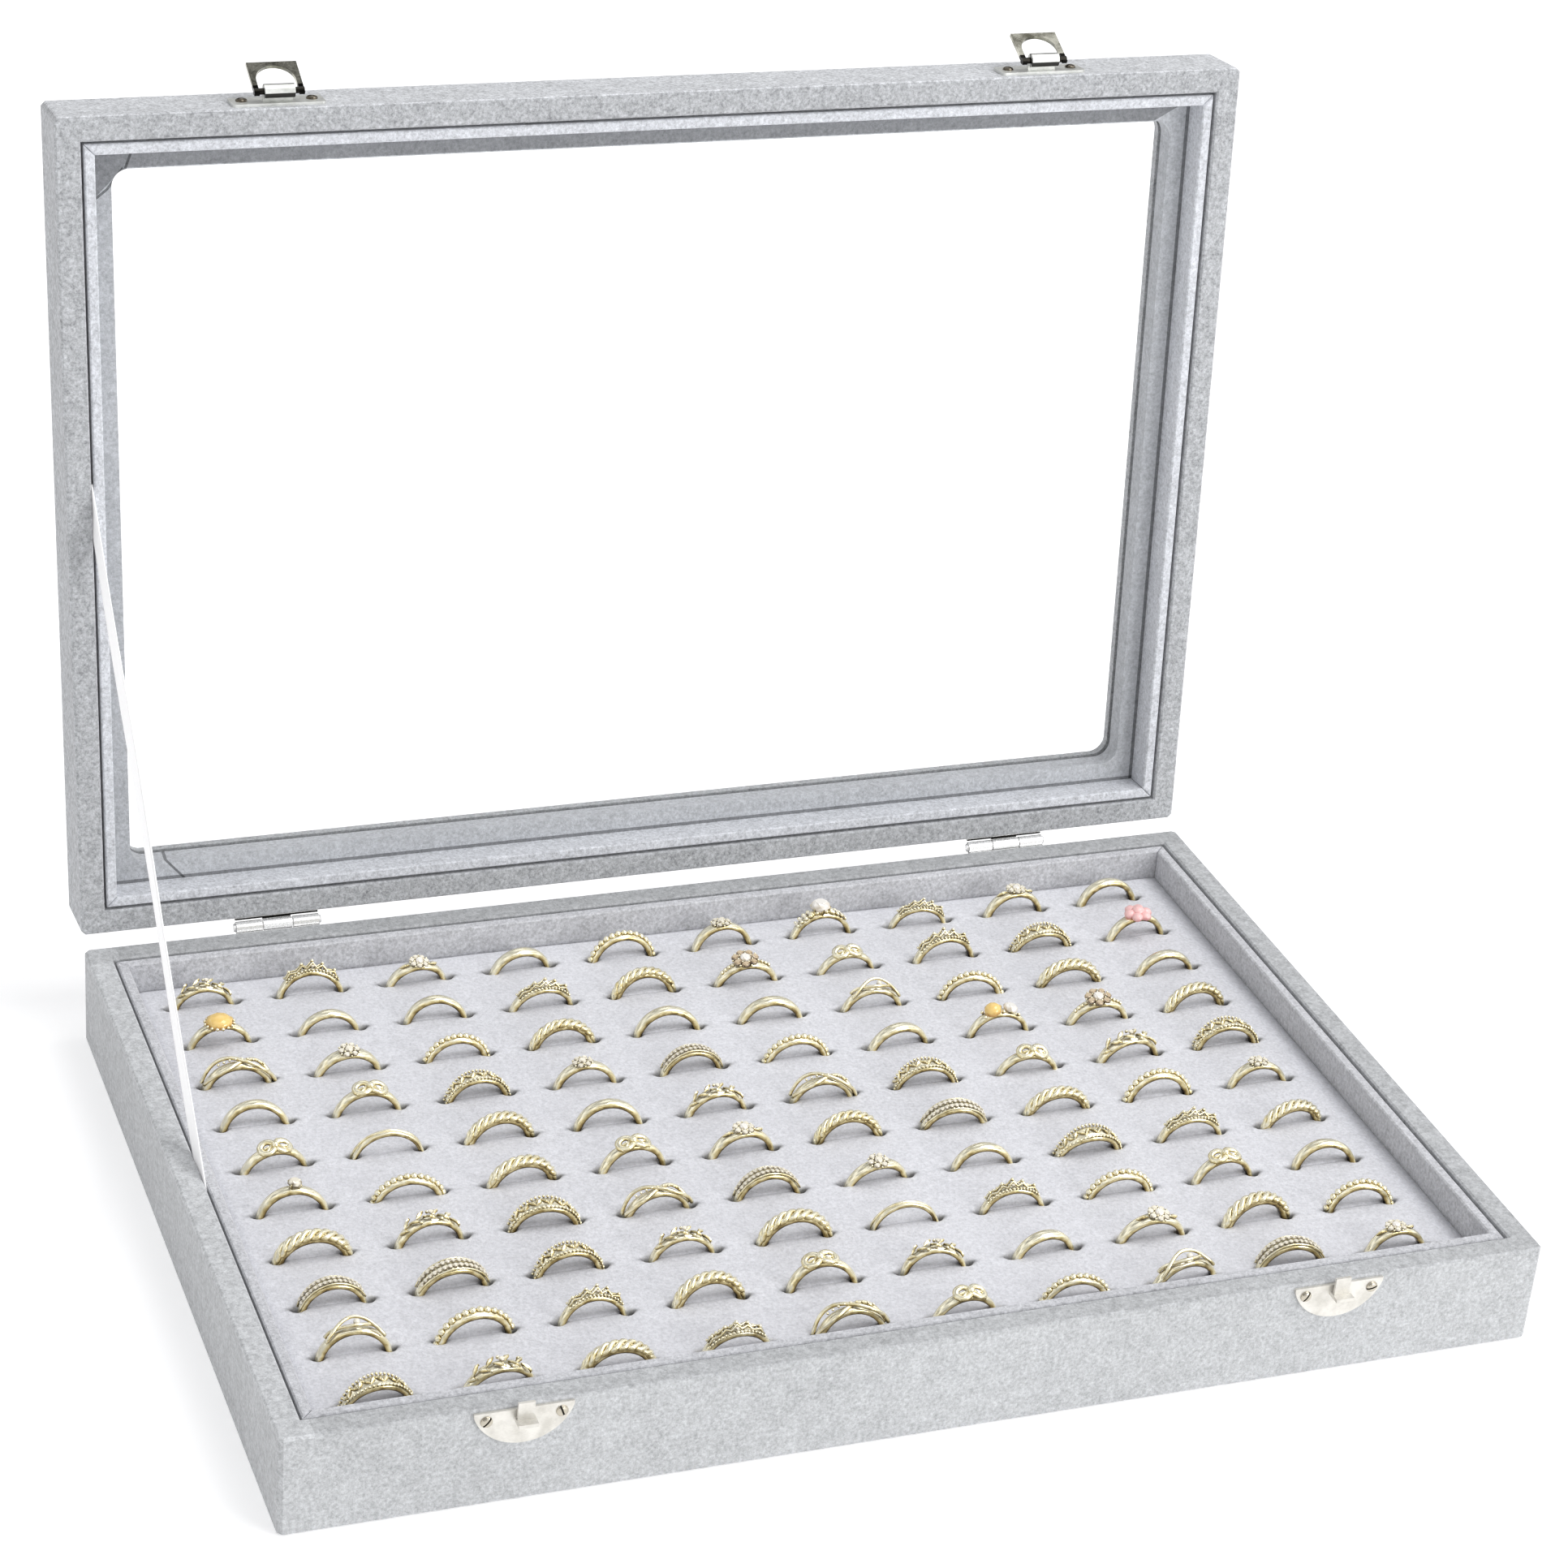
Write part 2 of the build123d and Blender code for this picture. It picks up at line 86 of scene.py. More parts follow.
camera = bpy.data.objects.new("camera", bpy.data.cameras.new("camera"))
camera.data.sensor_width = 36.0
camera.data.lens = focal_pixels / photo_side * camera.data.sensor_width
camera.data.shift_x = 0.5 - lens_axis_pixel[0] / photo_side
camera.data.shift_y = lens_axis_pixel[1] / photo_side - 0.5
camera.location = camera_place
camera.rotation_euler = Euler([math.radians(angle) for angle in camera_turn])
bpy.context.scene.collection.objects.link(camera)
bpy.context.scene.camera = camera
bpy.context.scene.view_settings.view_transform = "Standard"


# Floor, sky and lamps: a plain white sweep of paper that glows a little, so that
# hardly a shadow shows on it, under an even sky. One wide lamp stands low in front
# on the right and one hangs above. Shiny metal sees bright and dark bands in the sky.
MM = 0.001
floor_side, floor_drop = 16.0, 0.2 * MM


class Value:
    """A socket of a node tree. Sums, differences and products of it add Math nodes."""

    def __init__(self, tree, socket=None):
        self.tree = tree
        self.socket = socket

    def node(self, kind, settings=None, inputs=None, output=0):
        """Adds a node with its settings or a ramp's stops, then its inputs, and gives one of its outputs."""
        made = self.tree.nodes.new(kind)
        for name, value in (settings or {}).items():
            if name == "stops":
                while len(made.color_ramp.elements) < len(value):
                    made.color_ramp.elements.new(1.0)
                for stop, (place, shade) in zip(made.color_ramp.elements, value):
                    stop.position = place
                    stop.color = (shade,) * 3 + (1.0,) if isinstance(shade, float) else (*shade, 1.0)
            else:
                setattr(made, name, value)
        for name, value in (inputs or {}).items():
            if isinstance(value, Value):
                self.tree.links.new(value.socket, made.inputs[name])
            else:
                made.inputs[name].default_value = value
        return Value(self.tree, made.outputs[output] if made.outputs else None)

    def maths(self, operation, first, second=0.0, third=0.0):
        """A Math node on up to three numbers or sockets."""
        return self.node("ShaderNodeMath", {"operation": operation}, {0: first, 1: second, 2: third})

    def __add__(self, other):
        return self.maths("ADD", self, other)

    def __radd__(self, other):
        return self.maths("ADD", other, self)

    def __sub__(self, other):
        return self.maths("SUBTRACT", self, other)

    def __rsub__(self, other):
        return self.maths("SUBTRACT", other, self)

    def __mul__(self, other):
        return self.maths("MULTIPLY", self, other)

    def __rmul__(self, other):
        return self.maths("MULTIPLY", other, self)

    def attribute(self, name):
        """A number that the points of the mesh carry under a name."""
        return self.node("ShaderNodeAttribute", {"attribute_name": name}, output="Fac")

    def mix(self, first, second):
        """The colour first where this is 0, and second where it is 1."""
        return self.node("ShaderNodeMix", {"data_type": "RGBA"}, {0: self, 6: first, 7: second}, output=2)

    def ramp(self, *stops):
        """A colour or a brightness for each stop along this value."""
        return self.node("ShaderNodeValToRGB", {"stops": stops}, {0: self})

    def speckle(self, scale, detail=2.0, roughness=0.5):
        """Noise over this vector, from 0 to 1."""
        return self.node("ShaderNodeTexNoise", {}, {"Vector": self, "Scale": scale, "Detail": detail,
                                                    "Roughness": roughness})

    def scaled(self, x, y, z, turn=(0.0, 0.0, 0.0)):
        """This vector, turned and then stretched along each axis."""
        return self.node("ShaderNodeMapping", {}, {"Vector": self, "Rotation": turn, "Scale": (x, y, z)})

    def reach(self, x, y, z):
        """How far this vector goes along a direction."""
        return self.node("ShaderNodeVectorMath", {"operation": "DOT_PRODUCT"}, {0: self, 1: (x, y, z)},
                         output="Value")

    def within(self, low, high):
        """1 where this value lies between two others, and 0 elsewhere."""
        return self.maths("COMPARE", self, (low + high) / 2, (high - low) / 2)


def new_material(name):
    """An empty material, its tree and its object coordinates."""
    material = bpy.data.materials.new(name)
    material.use_nodes = True
    material.node_tree.nodes.clear()
    tree = Value(material.node_tree)
    return material, tree, tree.node("ShaderNodeTexCoord", output="Object")


def surface(tree, inputs):
    """Ends a material with its one shader."""
    shader = tree.node("ShaderNodeBsdfPrincipled", {}, inputs)
    tree.node("ShaderNodeOutputMaterial", {}, {"Surface": shader})


def as_mesh(name, shape):
    """Turns a bmesh into a mesh."""
    mesh = bpy.data.meshes.new(name)
    shape.to_mesh(mesh)
    shape.free()
    return mesh


def new_piece(name, mesh, material=None):
    """Puts a mesh into the scene as an object at the origin."""
    piece = bpy.data.objects.new(name, mesh)
    bpy.context.scene.collection.objects.link(piece)
    if material:
        mesh.materials.clear()
        mesh.materials.append(material)
    return piece


paper, tree, _ = new_material("white_paper")
surface(tree, {"Base Color": (0.95, 0.95, 0.95, 1), "Roughness": 0.9, "Emission Color": (1, 1, 1, 1),
               "Emission Strength": 0.36})
floor_mesh = bmesh.new()
bmesh.ops.create_grid(floor_mesh, x_segments=1, y_segments=1, size=floor_side / 2,
                      matrix=Matrix.Translation((0, 0, -floor_drop)))
new_piece("floor", as_mesh("floor", floor_mesh), paper)

sky = bpy.data.worlds.new("sky")
bpy.context.scene.world = sky
sky.use_nodes = True
sky.node_tree.nodes.clear()
tree = Value(sky.node_tree)
sky_way = tree.node("ShaderNodeTexCoord", output="Generated")
bands = sky_way.scaled(1.0, 1.0, 2.2, (0.3, 0.5, 0.0)).speckle(2.6, 1.0)
shiny_ray = tree.node("ShaderNodeLightPath", output="Is Glossy Ray")
room = bands.ramp((0.40, 0.02), (0.50, 0.55), (0.58, 1.5))
glow = shiny_ray.mix((0.62, 0.62, 0.63, 1), room)
background = tree.node("ShaderNodeBackground", {}, {"Color": glow, "Strength": 1.0})
tree.node("ShaderNodeOutputWorld", {}, {"Surface": background})


def lamp(name, at, aim, side, power):
    """A square lamp with sides of a length, turned towards a point."""
    light = bpy.data.objects.new(name, bpy.data.lights.new(name, "AREA"))
    light.data.size = side
    light.data.energy = power
    light.location = at
    light.rotation_euler = (Vector(aim) - Vector(at)).to_track_quat("-Z", "Y").to_euler()
    bpy.context.scene.collection.objects.link(light)


case_middle = (0.0, 0.0, 0.05)
lamp("front_lamp", (1.15, -1.6, 0.65), case_middle, 0.9, 14)
lamp("top_lamp", (0.8, -0.3, 2.0), case_middle, 1.3, 19)

# Boards: fibreboard walls, liners and the window's mat, each wrapped in pale grey
# velvet. The nap is brushed this way and that, so that it is paler and darker in
# soft patches, with the fine speckle of the pile over them.
rightward, backward, upward = (1, 0, 0), (0, 1, 0), (0, 0, 1)
lid_angle = 95.35
lid_turn = Matrix.Rotation(math.radians(-lid_angle), 3, "X")
up_the_lid = tuple(lid_turn @ Vector((0, -1, 0)))
fold_width, fold_shade = 0.7 * MM, 0.62


def velvet(name, shade, patches=0.10, grain=0.62, sheen=0.25, folds=(), painted_shading=(), mouths=0.0):
    """Velvet of a colour, with soft brushed patches and the speckle of its pile.

    Folds are dark lines of painted shade in the X-Z plane, each from one point to another. The painted
    shading is a list of places where the velvet is painted paler or darker by a factor, for light and shade,
    each within limits given as (direction, from, to). Both are given in millimetres. Mouths is how much shade
    is painted on the velvet where the attribute "mouth" is 1.
    """
    material, tree, place = new_material(name)
    brushed = place.speckle(30.0, 3.0, 0.6) - 0.5
    strokes = place.scaled(1.0, 4.0, 2.5, (0.2, 0.5, 0.6)).speckle(70.0, 2.0) - 0.5
    pile = place.speckle(950.0, 3.0, 0.8) - 0.5
    tufts = place.speckle(330.0, 2.0, 0.6) - 0.5
    tone = 1.0 + brushed * patches * 2.0 + strokes * patches + pile * grain * 2.0 + tufts * grain * 0.6
    # Painted shade along each fold
    for x0, z0, x1, z1 in folds:
        start, run = Vector((x0, z0)) * MM, Vector((x1 - x0, z1 - z0)) * MM
        way = run.normalized()
        along = place.reach(way.x, 0, way.y) - start.dot(way)
        away = place.reach(way.y, 0, -way.x) - (start.x * way.y - start.y * way.x)
        line = along.within(0, run.length) * away.within(-fold_width / 2, fold_width / 2)
        tone = tone * (1.0 - line * fold_shade)
    # Painted light and shade: the tone is painted paler or darker by a factor in each listed place
    for factor, *limits in painted_shading:
        there = 1.0
        for way, low, high in limits:
            there = place.reach(*way).within(low * MM, high * MM) * there
        tone = tone * (1.0 + there * (factor - 1.0))
    # Painted shade in the open mouths of the pad's slits
    if mouths:
        tone = tone * (1.0 - tree.attribute("mouth") * mouths)
    colour = tree.node("ShaderNodeVectorMath", {"operation": "SCALE"}, {0: shade, "Scale": tone})
    bump = tree.node("ShaderNodeBump", {}, {"Strength": 0.5, "Distance": 0.5 * MM, "Height": pile + 0.5})
    surface(tree, {"Base Color": colour, "Roughness": 0.95, "Specular IOR Level": 0.15, "Sheen Weight": sheen,
                   "Sheen Roughness": 0.45, "Normal": bump})
    return material


def wear(material, *names):
    """Gives CAD nodes a finish."""
    for name in names:
        nodes[name].data.materials.clear()
        nodes[name].data.materials.append(material)


# The mat's velvet is folded at its two left corners, and the shade in each fold is painted as a dark line.
# Each band, and each edge where it meets the liners, is painted darker by its own factor, as painted shade
up_the_mitre, up_and_left = (-0.464, 0, 0.886), (-0.707, 0, 0.707)
mat_folds = ((-152.4, 259.0, -154.6, 253.5), (-164.5, 244.7, -159.5, 248.5), (-159.5, 248.5, -155.0, 254.2),
             (-153.0, 54.8, -142.0, 42.2))
top_band = (0.50, (upward, 254.2, 275.0), (up_the_mitre, 154.2, 400.0))
top_left_corner = (0.50, (upward, 235.0, 254.2), (up_and_left, 289.3, 400.0))
left_band = (0.90, (rightward, -165.0, -151.5), (upward, 0.0, 254.2), (up_and_left, 0.0, 289.3))
right_band = (0.95, (rightward, 151.5, 170.0))
right_edge, left_edge = (0.40, (rightward, 163.1, 165.0)), (0.65, (rightward, -165.0, -163.2))
foot_edge, top_edge = (0.45, (upward, 42.0, 43.8)), (0.70, (upward, 259.2, 261.0))
mat_painted_shading = (top_band, top_left_corner, left_band, right_band, right_edge, left_edge, foot_edge, top_edge)

# Painted light and shade: the base's left rim and the lid's top and left faces are painted paler, and the
# base's back rim, beside the open lid, darker
left_rim = (1.18, (rightward, -176.0, -166.0), (upward, 29.0, 31.0))
back_rim = (0.86, (backward, 111.0, 121.0), (upward, 29.0, 31.0))
lid_top = max(vertex.co.dot(Vector(up_the_lid)) for vertex in nodes["lid_frame"].data.vertices) / MM
lid_top_face = (1.38, (up_the_lid, lid_top - 0.3, lid_top + 0.3))
lid_left_face = (1.12, (rightward, -176.0, -174.6))
sides = ("front", "right", "back", "left")
# The liners' velvet is painted paler than the walls', standing in for the light that catches their edges
wear(velvet("wall_velvet", (0.49, 0.50, 0.51), grain=0.75, painted_shading=(left_rim, back_rim)), "base_frame",
     "bottom_board")
wear(velvet("base_liner_velvet", (0.585, 0.59, 0.615), grain=0.75), *[f"base_liner_{side}" for side in sides])
wear(velvet("lid_velvet", (0.435, 0.445, 0.46), grain=1.0, painted_shading=(lid_top_face, lid_left_face)),
     "lid_frame")
wear(velvet("lid_liner_velvet", (0.615, 0.63, 0.665), grain=0.75), *[f"lid_liner_{side}" for side in sides])
wear(velvet("mat_velvet", (0.505, 0.52, 0.545), folds=mat_folds, painted_shading=mat_painted_shading), "window_mat")

# Glass: one clear pane of float glass, 2 mm thick. It lies in the lid between the
# border of the lid's frame on the outside and the window's mat on the inside.
clear_glass, tree, _ = new_material("clear_glass")
surface(tree, {"Base Color": (0.93, 0.97, 0.96, 1), "Roughness": 0.03, "Alpha": 0.05})
wear(clear_glass, "window_pane")

# Ring pad: a foam block under velvet, cut with a hundred slits. Foam closes over an
# empty slit, and a ring's two legs push it open. Each cell of the grid is one
# ring's own square of velvet, drawn once and set out a hundred times.
pad_low, pad_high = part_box("ring_pad")
pad_top = pad_high[2]
ring_count = 10
first_column, column_pitch = -145.1 * MM, 31.911 * MM
first_row, row_pitch = 97.0 * MM, -21.8 * MM
column_places = [first_column + column * column_pitch for column in range(ring_count)]
row_places = [first_row + row * row_pitch for row in range(ring_count)]

# One cell, in millimetres from its slit's middle: where the ring's legs stand, how the velvet folds there and
# how much shade is painted in its open mouths, and the lines of the cell's mesh
slit_end, end_slope = 12.0, 0.9
leg_middle, leg_reach = 9.4, 2.4
crease_depth, mouth_depth, mouth_width = 0.35, 6.0, 0.45
lip_height, lip_middle = 0.16, 2.2
spread_width, spread_reach = 0.8, 3.0
dark_middle, dark_length, dark_width = 10.6, 1.7, 0.75
across_lines = (0, 1.6, 3.2, 4.8, 6.2, 7.2, 7.9, 8.6, 9.3, 10.0, 10.7, 11.3, 11.8, 12.3, 13.0, 14.2, 15.0)
along_lines = (0, 0.22, 0.45, 0.8, 1.3, 2.0, 3.0, 4.6, 7.0, 9.4, 10.2)


def both_ways(lines, edge):
    """The lines on both sides of zero, out to the cell's edge."""
    half = [line for line in lines if line < edge] + [edge]
    return [-line for line in reversed(half[1:])] + half


def slit_fold(across, along):
    """Where a point of a cell goes, in millimetres from the slit's middle, when its ring is in."""
    leg = max(0.0, 1.0 - abs(abs(across) - leg_middle) / leg_reach)
    leg = leg * leg * (3 - 2 * leg)
    inside = min(1.0, max(0.0, (slit_end - abs(across)) / end_slope))
    depth = (crease_depth + mouth_depth * leg) * inside * math.exp(-(abs(along) / mouth_width) ** 1.1)
    lip = lip_height * leg * math.exp(-(abs(along) - lip_middle) ** 2)
    spread = spread_width * leg * math.exp(-abs(along) / spread_reach) if along else 0.0
    return across, along + math.copysign(spread, along), lip - depth


def mouth_shade(across, along):
    """How much shade is painted on the velvet in the open mouths of the slit, beside the ring's legs, from 0
    to 1.
    """
    beside = math.exp(-((abs(across) - dark_middle) / dark_length) ** 2)
    return beside * math.exp(-(along / dark_width) ** 2)


def pad_cell():
    """One cell of the pad's top, with the painted shade of its slit's open mouths as an attribute."""
    across = both_ways(across_lines, column_pitch / MM / 2)
    along = both_ways(along_lines, -row_pitch / MM / 2)
    points = [Vector(slit_fold(x, y)) * MM for y in along for x in across]
    wide = len(across)
    faces = [(i + j * wide, i + 1 + j * wide, i + 1 + (j + 1) * wide, i + (j + 1) * wide)
             for j in range(len(along) - 1) for i in range(wide - 1)]
    cell = bpy.data.meshes.new("pad_cell")
    cell.from_pydata(points, [], faces)
    shade = [mouth_shade(x, y) for y in along for x in across]
    cell.attributes.new("mouth", "FLOAT", "POINT").data.foreach_set("value", shade)
    return bpy.data.objects.new("pad_cell", cell)


def node_group(name, **sizes):
    """A Geometry Nodes group with a geometry input, named inputs and one geometry output."""
    group = bpy.data.node_groups.new(name, "GeometryNodeTree")
    group.interface.new_socket("Geometry", in_out="INPUT", socket_type="NodeSocketGeometry")
    for label, value in sizes.items():
        kind = {int: "Int", float: "Float", bpy.types.Object: "Object", bpy.types.Collection: "Collection",
                bpy.types.Material: "Material"}[type(value)]
        group.interface.new_socket(label, in_out="INPUT", socket_type=f"NodeSocket{kind}")
    group.interface.new_socket("Geometry", in_out="OUTPUT", socket_type="NodeSocketGeometry")
    tree = Value(group)
    given = group.nodes.new("NodeGroupInput")
    return group, tree, {socket.name: Value(group, socket) for socket in given.outputs if socket.name}


def end_group(tree, made, material):
    """Ends a group, with its instances made real and its material set."""
    real = tree.node("GeometryNodeRealizeInstances", {}, {"Geometry": made})
    dressed = tree.node("GeometryNodeSetMaterial", {}, {"Geometry": real, "Material": material})
    tree.node("NodeGroupOutput", {}, {0: dressed})


def grown(name, group, start, **sizes):
    """Runs a group on a mesh, bakes what it makes into a plain mesh and drops the modifier."""
    piece = new_piece(name, start)
    modifier = piece.modifiers.new("grow", "NODES")
    modifier.node_group = group
    sockets = {item.name: item.identifier for item in group.interface.items_tree if item.in_out == "INPUT"}
    for label, value in sizes.items():
        modifier[sockets[label]] = value
    made = bpy.data.meshes.new_from_object(piece.evaluated_get(bpy.context.evaluated_depsgraph_get()))
    piece.modifiers.clear()
    piece.data = made
    made.name = name
    return piece


# The pad's velvet gets painted shade in the slits' open mouths, beside each ring's legs
pad_velvet = velvet("pad_velvet", (0.74, 0.745, 0.785), patches=0.07, grain=0.42, sheen=0.3, mouths=0.92)
cell = pad_cell()
cells, tree, given = node_group("set_out_cells", Cell=cell, Waves=1.0, Velvet=pad_velvet)
one_cell = tree.node("GeometryNodeObjectInfo", {}, {"Object": given["Cell"]}, "Geometry")
laid = tree.node("GeometryNodeInstanceOnPoints", {}, {"Points": given["Geometry"], "Instance": one_cell})
sheet = tree.node("GeometryNodeRealizeInstances", {}, {"Geometry": laid})
joined = tree.node("GeometryNodeMergeByDistance", {}, {"Geometry": sheet, "Distance": 0.05 * MM})
swell = tree.node("GeometryNodeInputPosition").speckle(22.0, 1.0) - 0.5
rise = tree.node("ShaderNodeCombineXYZ", {}, {"Z": swell * given["Waves"]})
waved = tree.node("GeometryNodeSetPosition", {}, {"Geometry": joined, "Offset": rise})
end_group(tree, waved, given["Velvet"])
slit_places = bpy.data.meshes.new("slit_places")
slit_places.from_pydata([(x, y, pad_top) for y in row_places for x in column_places], [], [])
ring_pad = grown("pad_cover", cells, slit_places, Cell=cell, Waves=1.2 * MM, Velvet=pad_velvet)
bpy.data.objects.remove(cell)

# The cover runs on to the pad's edges, rounds over them and goes down to its foot
shell = bmesh.new()
shell.from_mesh(ring_pad.data)
cover_low = (column_places[0] - column_pitch / 2, row_places[-1] + row_pitch / 2)
cover_high = (column_places[-1] + column_pitch / 2, row_places[0] - row_pitch / 2)
edge_reach, edge_drop = 0.2 * MM, 0.9 * MM
for vertex in shell.verts:
    for axis in (0, 1):
        for cover_edge, pad_edge in ((cover_low, pad_low), (cover_high, pad_high)):
            if abs(vertex.co[axis] - cover_edge[axis]) < edge_reach:
                vertex.co[axis] = pad_edge[axis]
                vertex.co.z = pad_top - edge_drop
rim = [next(vertex for vertex in shell.verts if vertex.is_boundary)]
edge = next(edge for edge in rim[0].link_edges if edge.is_boundary)
while edge.other_vert(rim[-1]) != rim[0]:
    rim.append(edge.other_vert(rim[-1]))
    edge = next(ahead for ahead in rim[-1].link_edges if ahead.is_boundary and ahead != edge)
foot = [shell.verts.new((vertex.co.x, vertex.co.y, pad_low[2])) for vertex in rim]
for i in range(len(rim)):
    shell.faces.new((rim[i - 1], foot[i - 1], foot[i], rim[i]))
shell.faces.new(foot)
bmesh.ops.recalc_face_normals(shell, faces=shell.faces)
shell.to_mesh(ring_pad.data)
shell.free()
ring_pad.data.polygons.foreach_set("use_smooth", [True] * len(ring_pad.data.polygons))
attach(ring_pad, "base")
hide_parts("ring_pad")

# Rings: a hundred gold-plated finger rings, one in each slit. Each is a band bent
# round a mandrel, with beads, twisted wires, leaves or set stones brazed on top.
# They stand loose in the pad, some a little smaller, turned or leaning.
ring_radius, ring_sink = 10.4 * MM, 2.9 * MM
band_steps, twist_steps = 40, 56

# Every band is this much broader and stouter than its design says
breadth, stoutness = 1.35, 1.45


def circle(count, turn=0.0):
    """Points evenly round a circle of radius 1, each as its cosine and sine, turned by part of a step."""
    angles = [2 * math.pi * (k + turn) / count for k in range(count)]
    return [(math.cos(angle), math.sin(angle)) for angle in angles]


class RingDesign:
    """The meshes of one kind of ring about its own middle: X along its row, Z up, angles from its top."""

    def __init__(self):
        self.gold, self.crystal, self.pearl = (self.blank() for _ in range(3))
        self.rose, self.amber, self.onyx = (self.blank() for _ in range(3))

    @staticmethod
    def blank():
        """An empty mesh whose points carry how much painted light they get."""
        mesh = bmesh.new()
        mesh.verts.layers.float.new("polish")
        return mesh

    @staticmethod
    def spot(angle, across=0.0, lift=0.0):
        """A point over the band, from its angle in degrees, and millimetres across and above it."""
        turn = math.radians(angle)
        radius = ring_radius + lift * MM
        return Vector((radius * math.sin(turn), across * breadth * MM, radius * math.cos(turn)))

    @staticmethod
    def above(lift, along=0.0, across=0.0):
        """A point over the ring's top, in millimetres up, along and across, which breadth doesn't stretch."""
        return Vector((along * MM, across * MM, ring_radius + lift * MM))

    @staticmethod
    def ways(at):
        """The directions out of the ring, along its band and across it at a point."""
        out = Vector((at.x, 0, at.z)).normalized()
        side = Vector((0, 1, 0))
        return out, side.cross(out), side

    @staticmethod
    def skin(mesh, loops, polish, ends=False, round_trip=False):
        """Joins loops of points into a skin, with each point's painted light from 0, painted shade, to 1,
        painted highlight.
        """
        layer = mesh.verts.layers.float["polish"]
        rows = []
        for loop in loops:
            row = [mesh.verts.new(point) for point in loop]
            for vertex, shine in zip(row, polish):
                vertex[layer] = shine
            rows.append(row)
        count = len(rows[0])
        pairs = list(zip(rows, rows[1:])) + ([(rows[-1], rows[0])] if round_trip else [])
        for low, high in pairs:
            for i in range(count):
                face = mesh.faces.new((low[i], low[(i + 1) % count], high[(i + 1) % count], high[i]))
                face.smooth = True
        if ends:
            mesh.faces.new(rows[0][::-1])
            mesh.faces.new(rows[-1])

    def band(self, half_width, thickness, flare=0.0):
        """A whole band with a domed outside, growing wider towards its top by flare, with a painted highlight
        on the dome and painted shade towards its inside.
        """
        section = ((-1, -0.9), (-0.5, -1), (-0.12, -0.72), (0, 0), (-0.12, 0.72), (-0.5, 1), (-1, 0.9),
                   (-1, 0))
        loops = []
        for step in range(band_steps):
            angle = 360 * step / band_steps
            half = half_width + flare * max(0.0, math.cos(math.radians(angle))) ** 2
            loops.append([self.spot(angle, y * half, h * thickness * stoutness) for h, y in section])
        self.skin(self.gold, loops, (0.1, 0.5, 0.95, 1.0, 0.95, 0.5, 0.1, 0.0), round_trip=True)

    def wire(self, points, radius, sides=6, flat=1.0, closed=False):
        """A round or flattened gold wire through points."""
        loops = []
        count = len(points)
        for i, point in enumerate(points):
            before = points[(i - 1) % count] if closed or i else point
            after = points[(i + 1) % count] if closed or i < count - 1 else point
            along = (after - before).normalized()
            out = Vector((point.x, 0, point.z)).normalized()
            out = out - along * out.dot(along)
            out = out.normalized() if out.length > 0.2 else along.cross(Vector((0, 1, 0))).normalized()
            side = along.cross(out)
            loops.append([point + (out * c + side * s * flat) * radius * MM for c, s in circle(sides)])
        # A painted highlight on the wire's outer side, painted shade on its inner side
        shine = [0.5 + 0.5 * c for c, s in circle(sides)]
        self.skin(self.gold, loops, shine, ends=not closed, round_trip=closed)

    def bead(self, at, radius, mesh=None, squash=1.0):
        """A bead of forty small faces, with a painted highlight on top and painted shade at its foot,
        standing out from the ring's middle.
        """
        mesh = mesh or self.gold
        out, along, side = self.ways(at)
        layer = mesh.verts.layers.float["polish"]
        rows = []
        for j, shine in enumerate((1.0, 0.75, 0.15, 0.0)):
            tilt = math.pi * (j + 1) / 5
            up, wide = out * math.cos(tilt) * squash, math.sin(tilt)
            rows.append([mesh.verts.new(at + (up + (along * c + side * s) * wide) * radius * MM)
                         for c, s in circle(8)])
            for vertex in rows[-1]:
                vertex[layer] = shine
        top = mesh.verts.new(at + out * radius * MM * squash)
        foot = mesh.verts.new(at - out * radius * MM * squash)
        top[layer] = 1.0
        for k in range(8):
            n = (k + 1) % 8
            mesh.faces.new((top, rows[0][k], rows[0][n])).smooth = True
            for high, low in zip(rows, rows[1:]):
                mesh.faces.new((high[k], low[k], low[n], high[n])).smooth = True
            mesh.faces.new((foot, rows[-1][n], rows[-1][k])).smooth = True

    def gem(self, at, radius, mesh, facets=8, height=0.55):
        """A cut stone: a flat table, a crown of flat facets, a girdle and a foot, painted with glints and
        shade.
        """
        out, along, side = self.ways(at)
        layer = mesh.verts.layers.float["polish"]
        levels = ((0.55, height, 0.0), (0.86, height * 0.62, 0.5), (1.0, 0.0, 0.0), (0.8, -0.25, 0.5))
        rows = []
        for wide, up, turn in levels:
            rows.append([mesh.verts.new(at + (out * up + (along * c + side * s) * wide) * radius * MM)
                         for c, s in circle(facets, turn)])
        for number, row in enumerate(rows):
            for k, vertex in enumerate(row):
                vertex[layer] = (1.0, 0.1 if k % 2 else 0.9, 0.0 if k % 3 else 0.8, 0.0)[number]
        mesh.faces.new(rows[0])
        for high, low in zip(rows, rows[1:]):
            for k in range(facets):
                n = (k + 1) % facets
                mesh.faces.new((high[k], low[k], low[n], high[n]))
        mesh.faces.new(rows[-1][::-1])

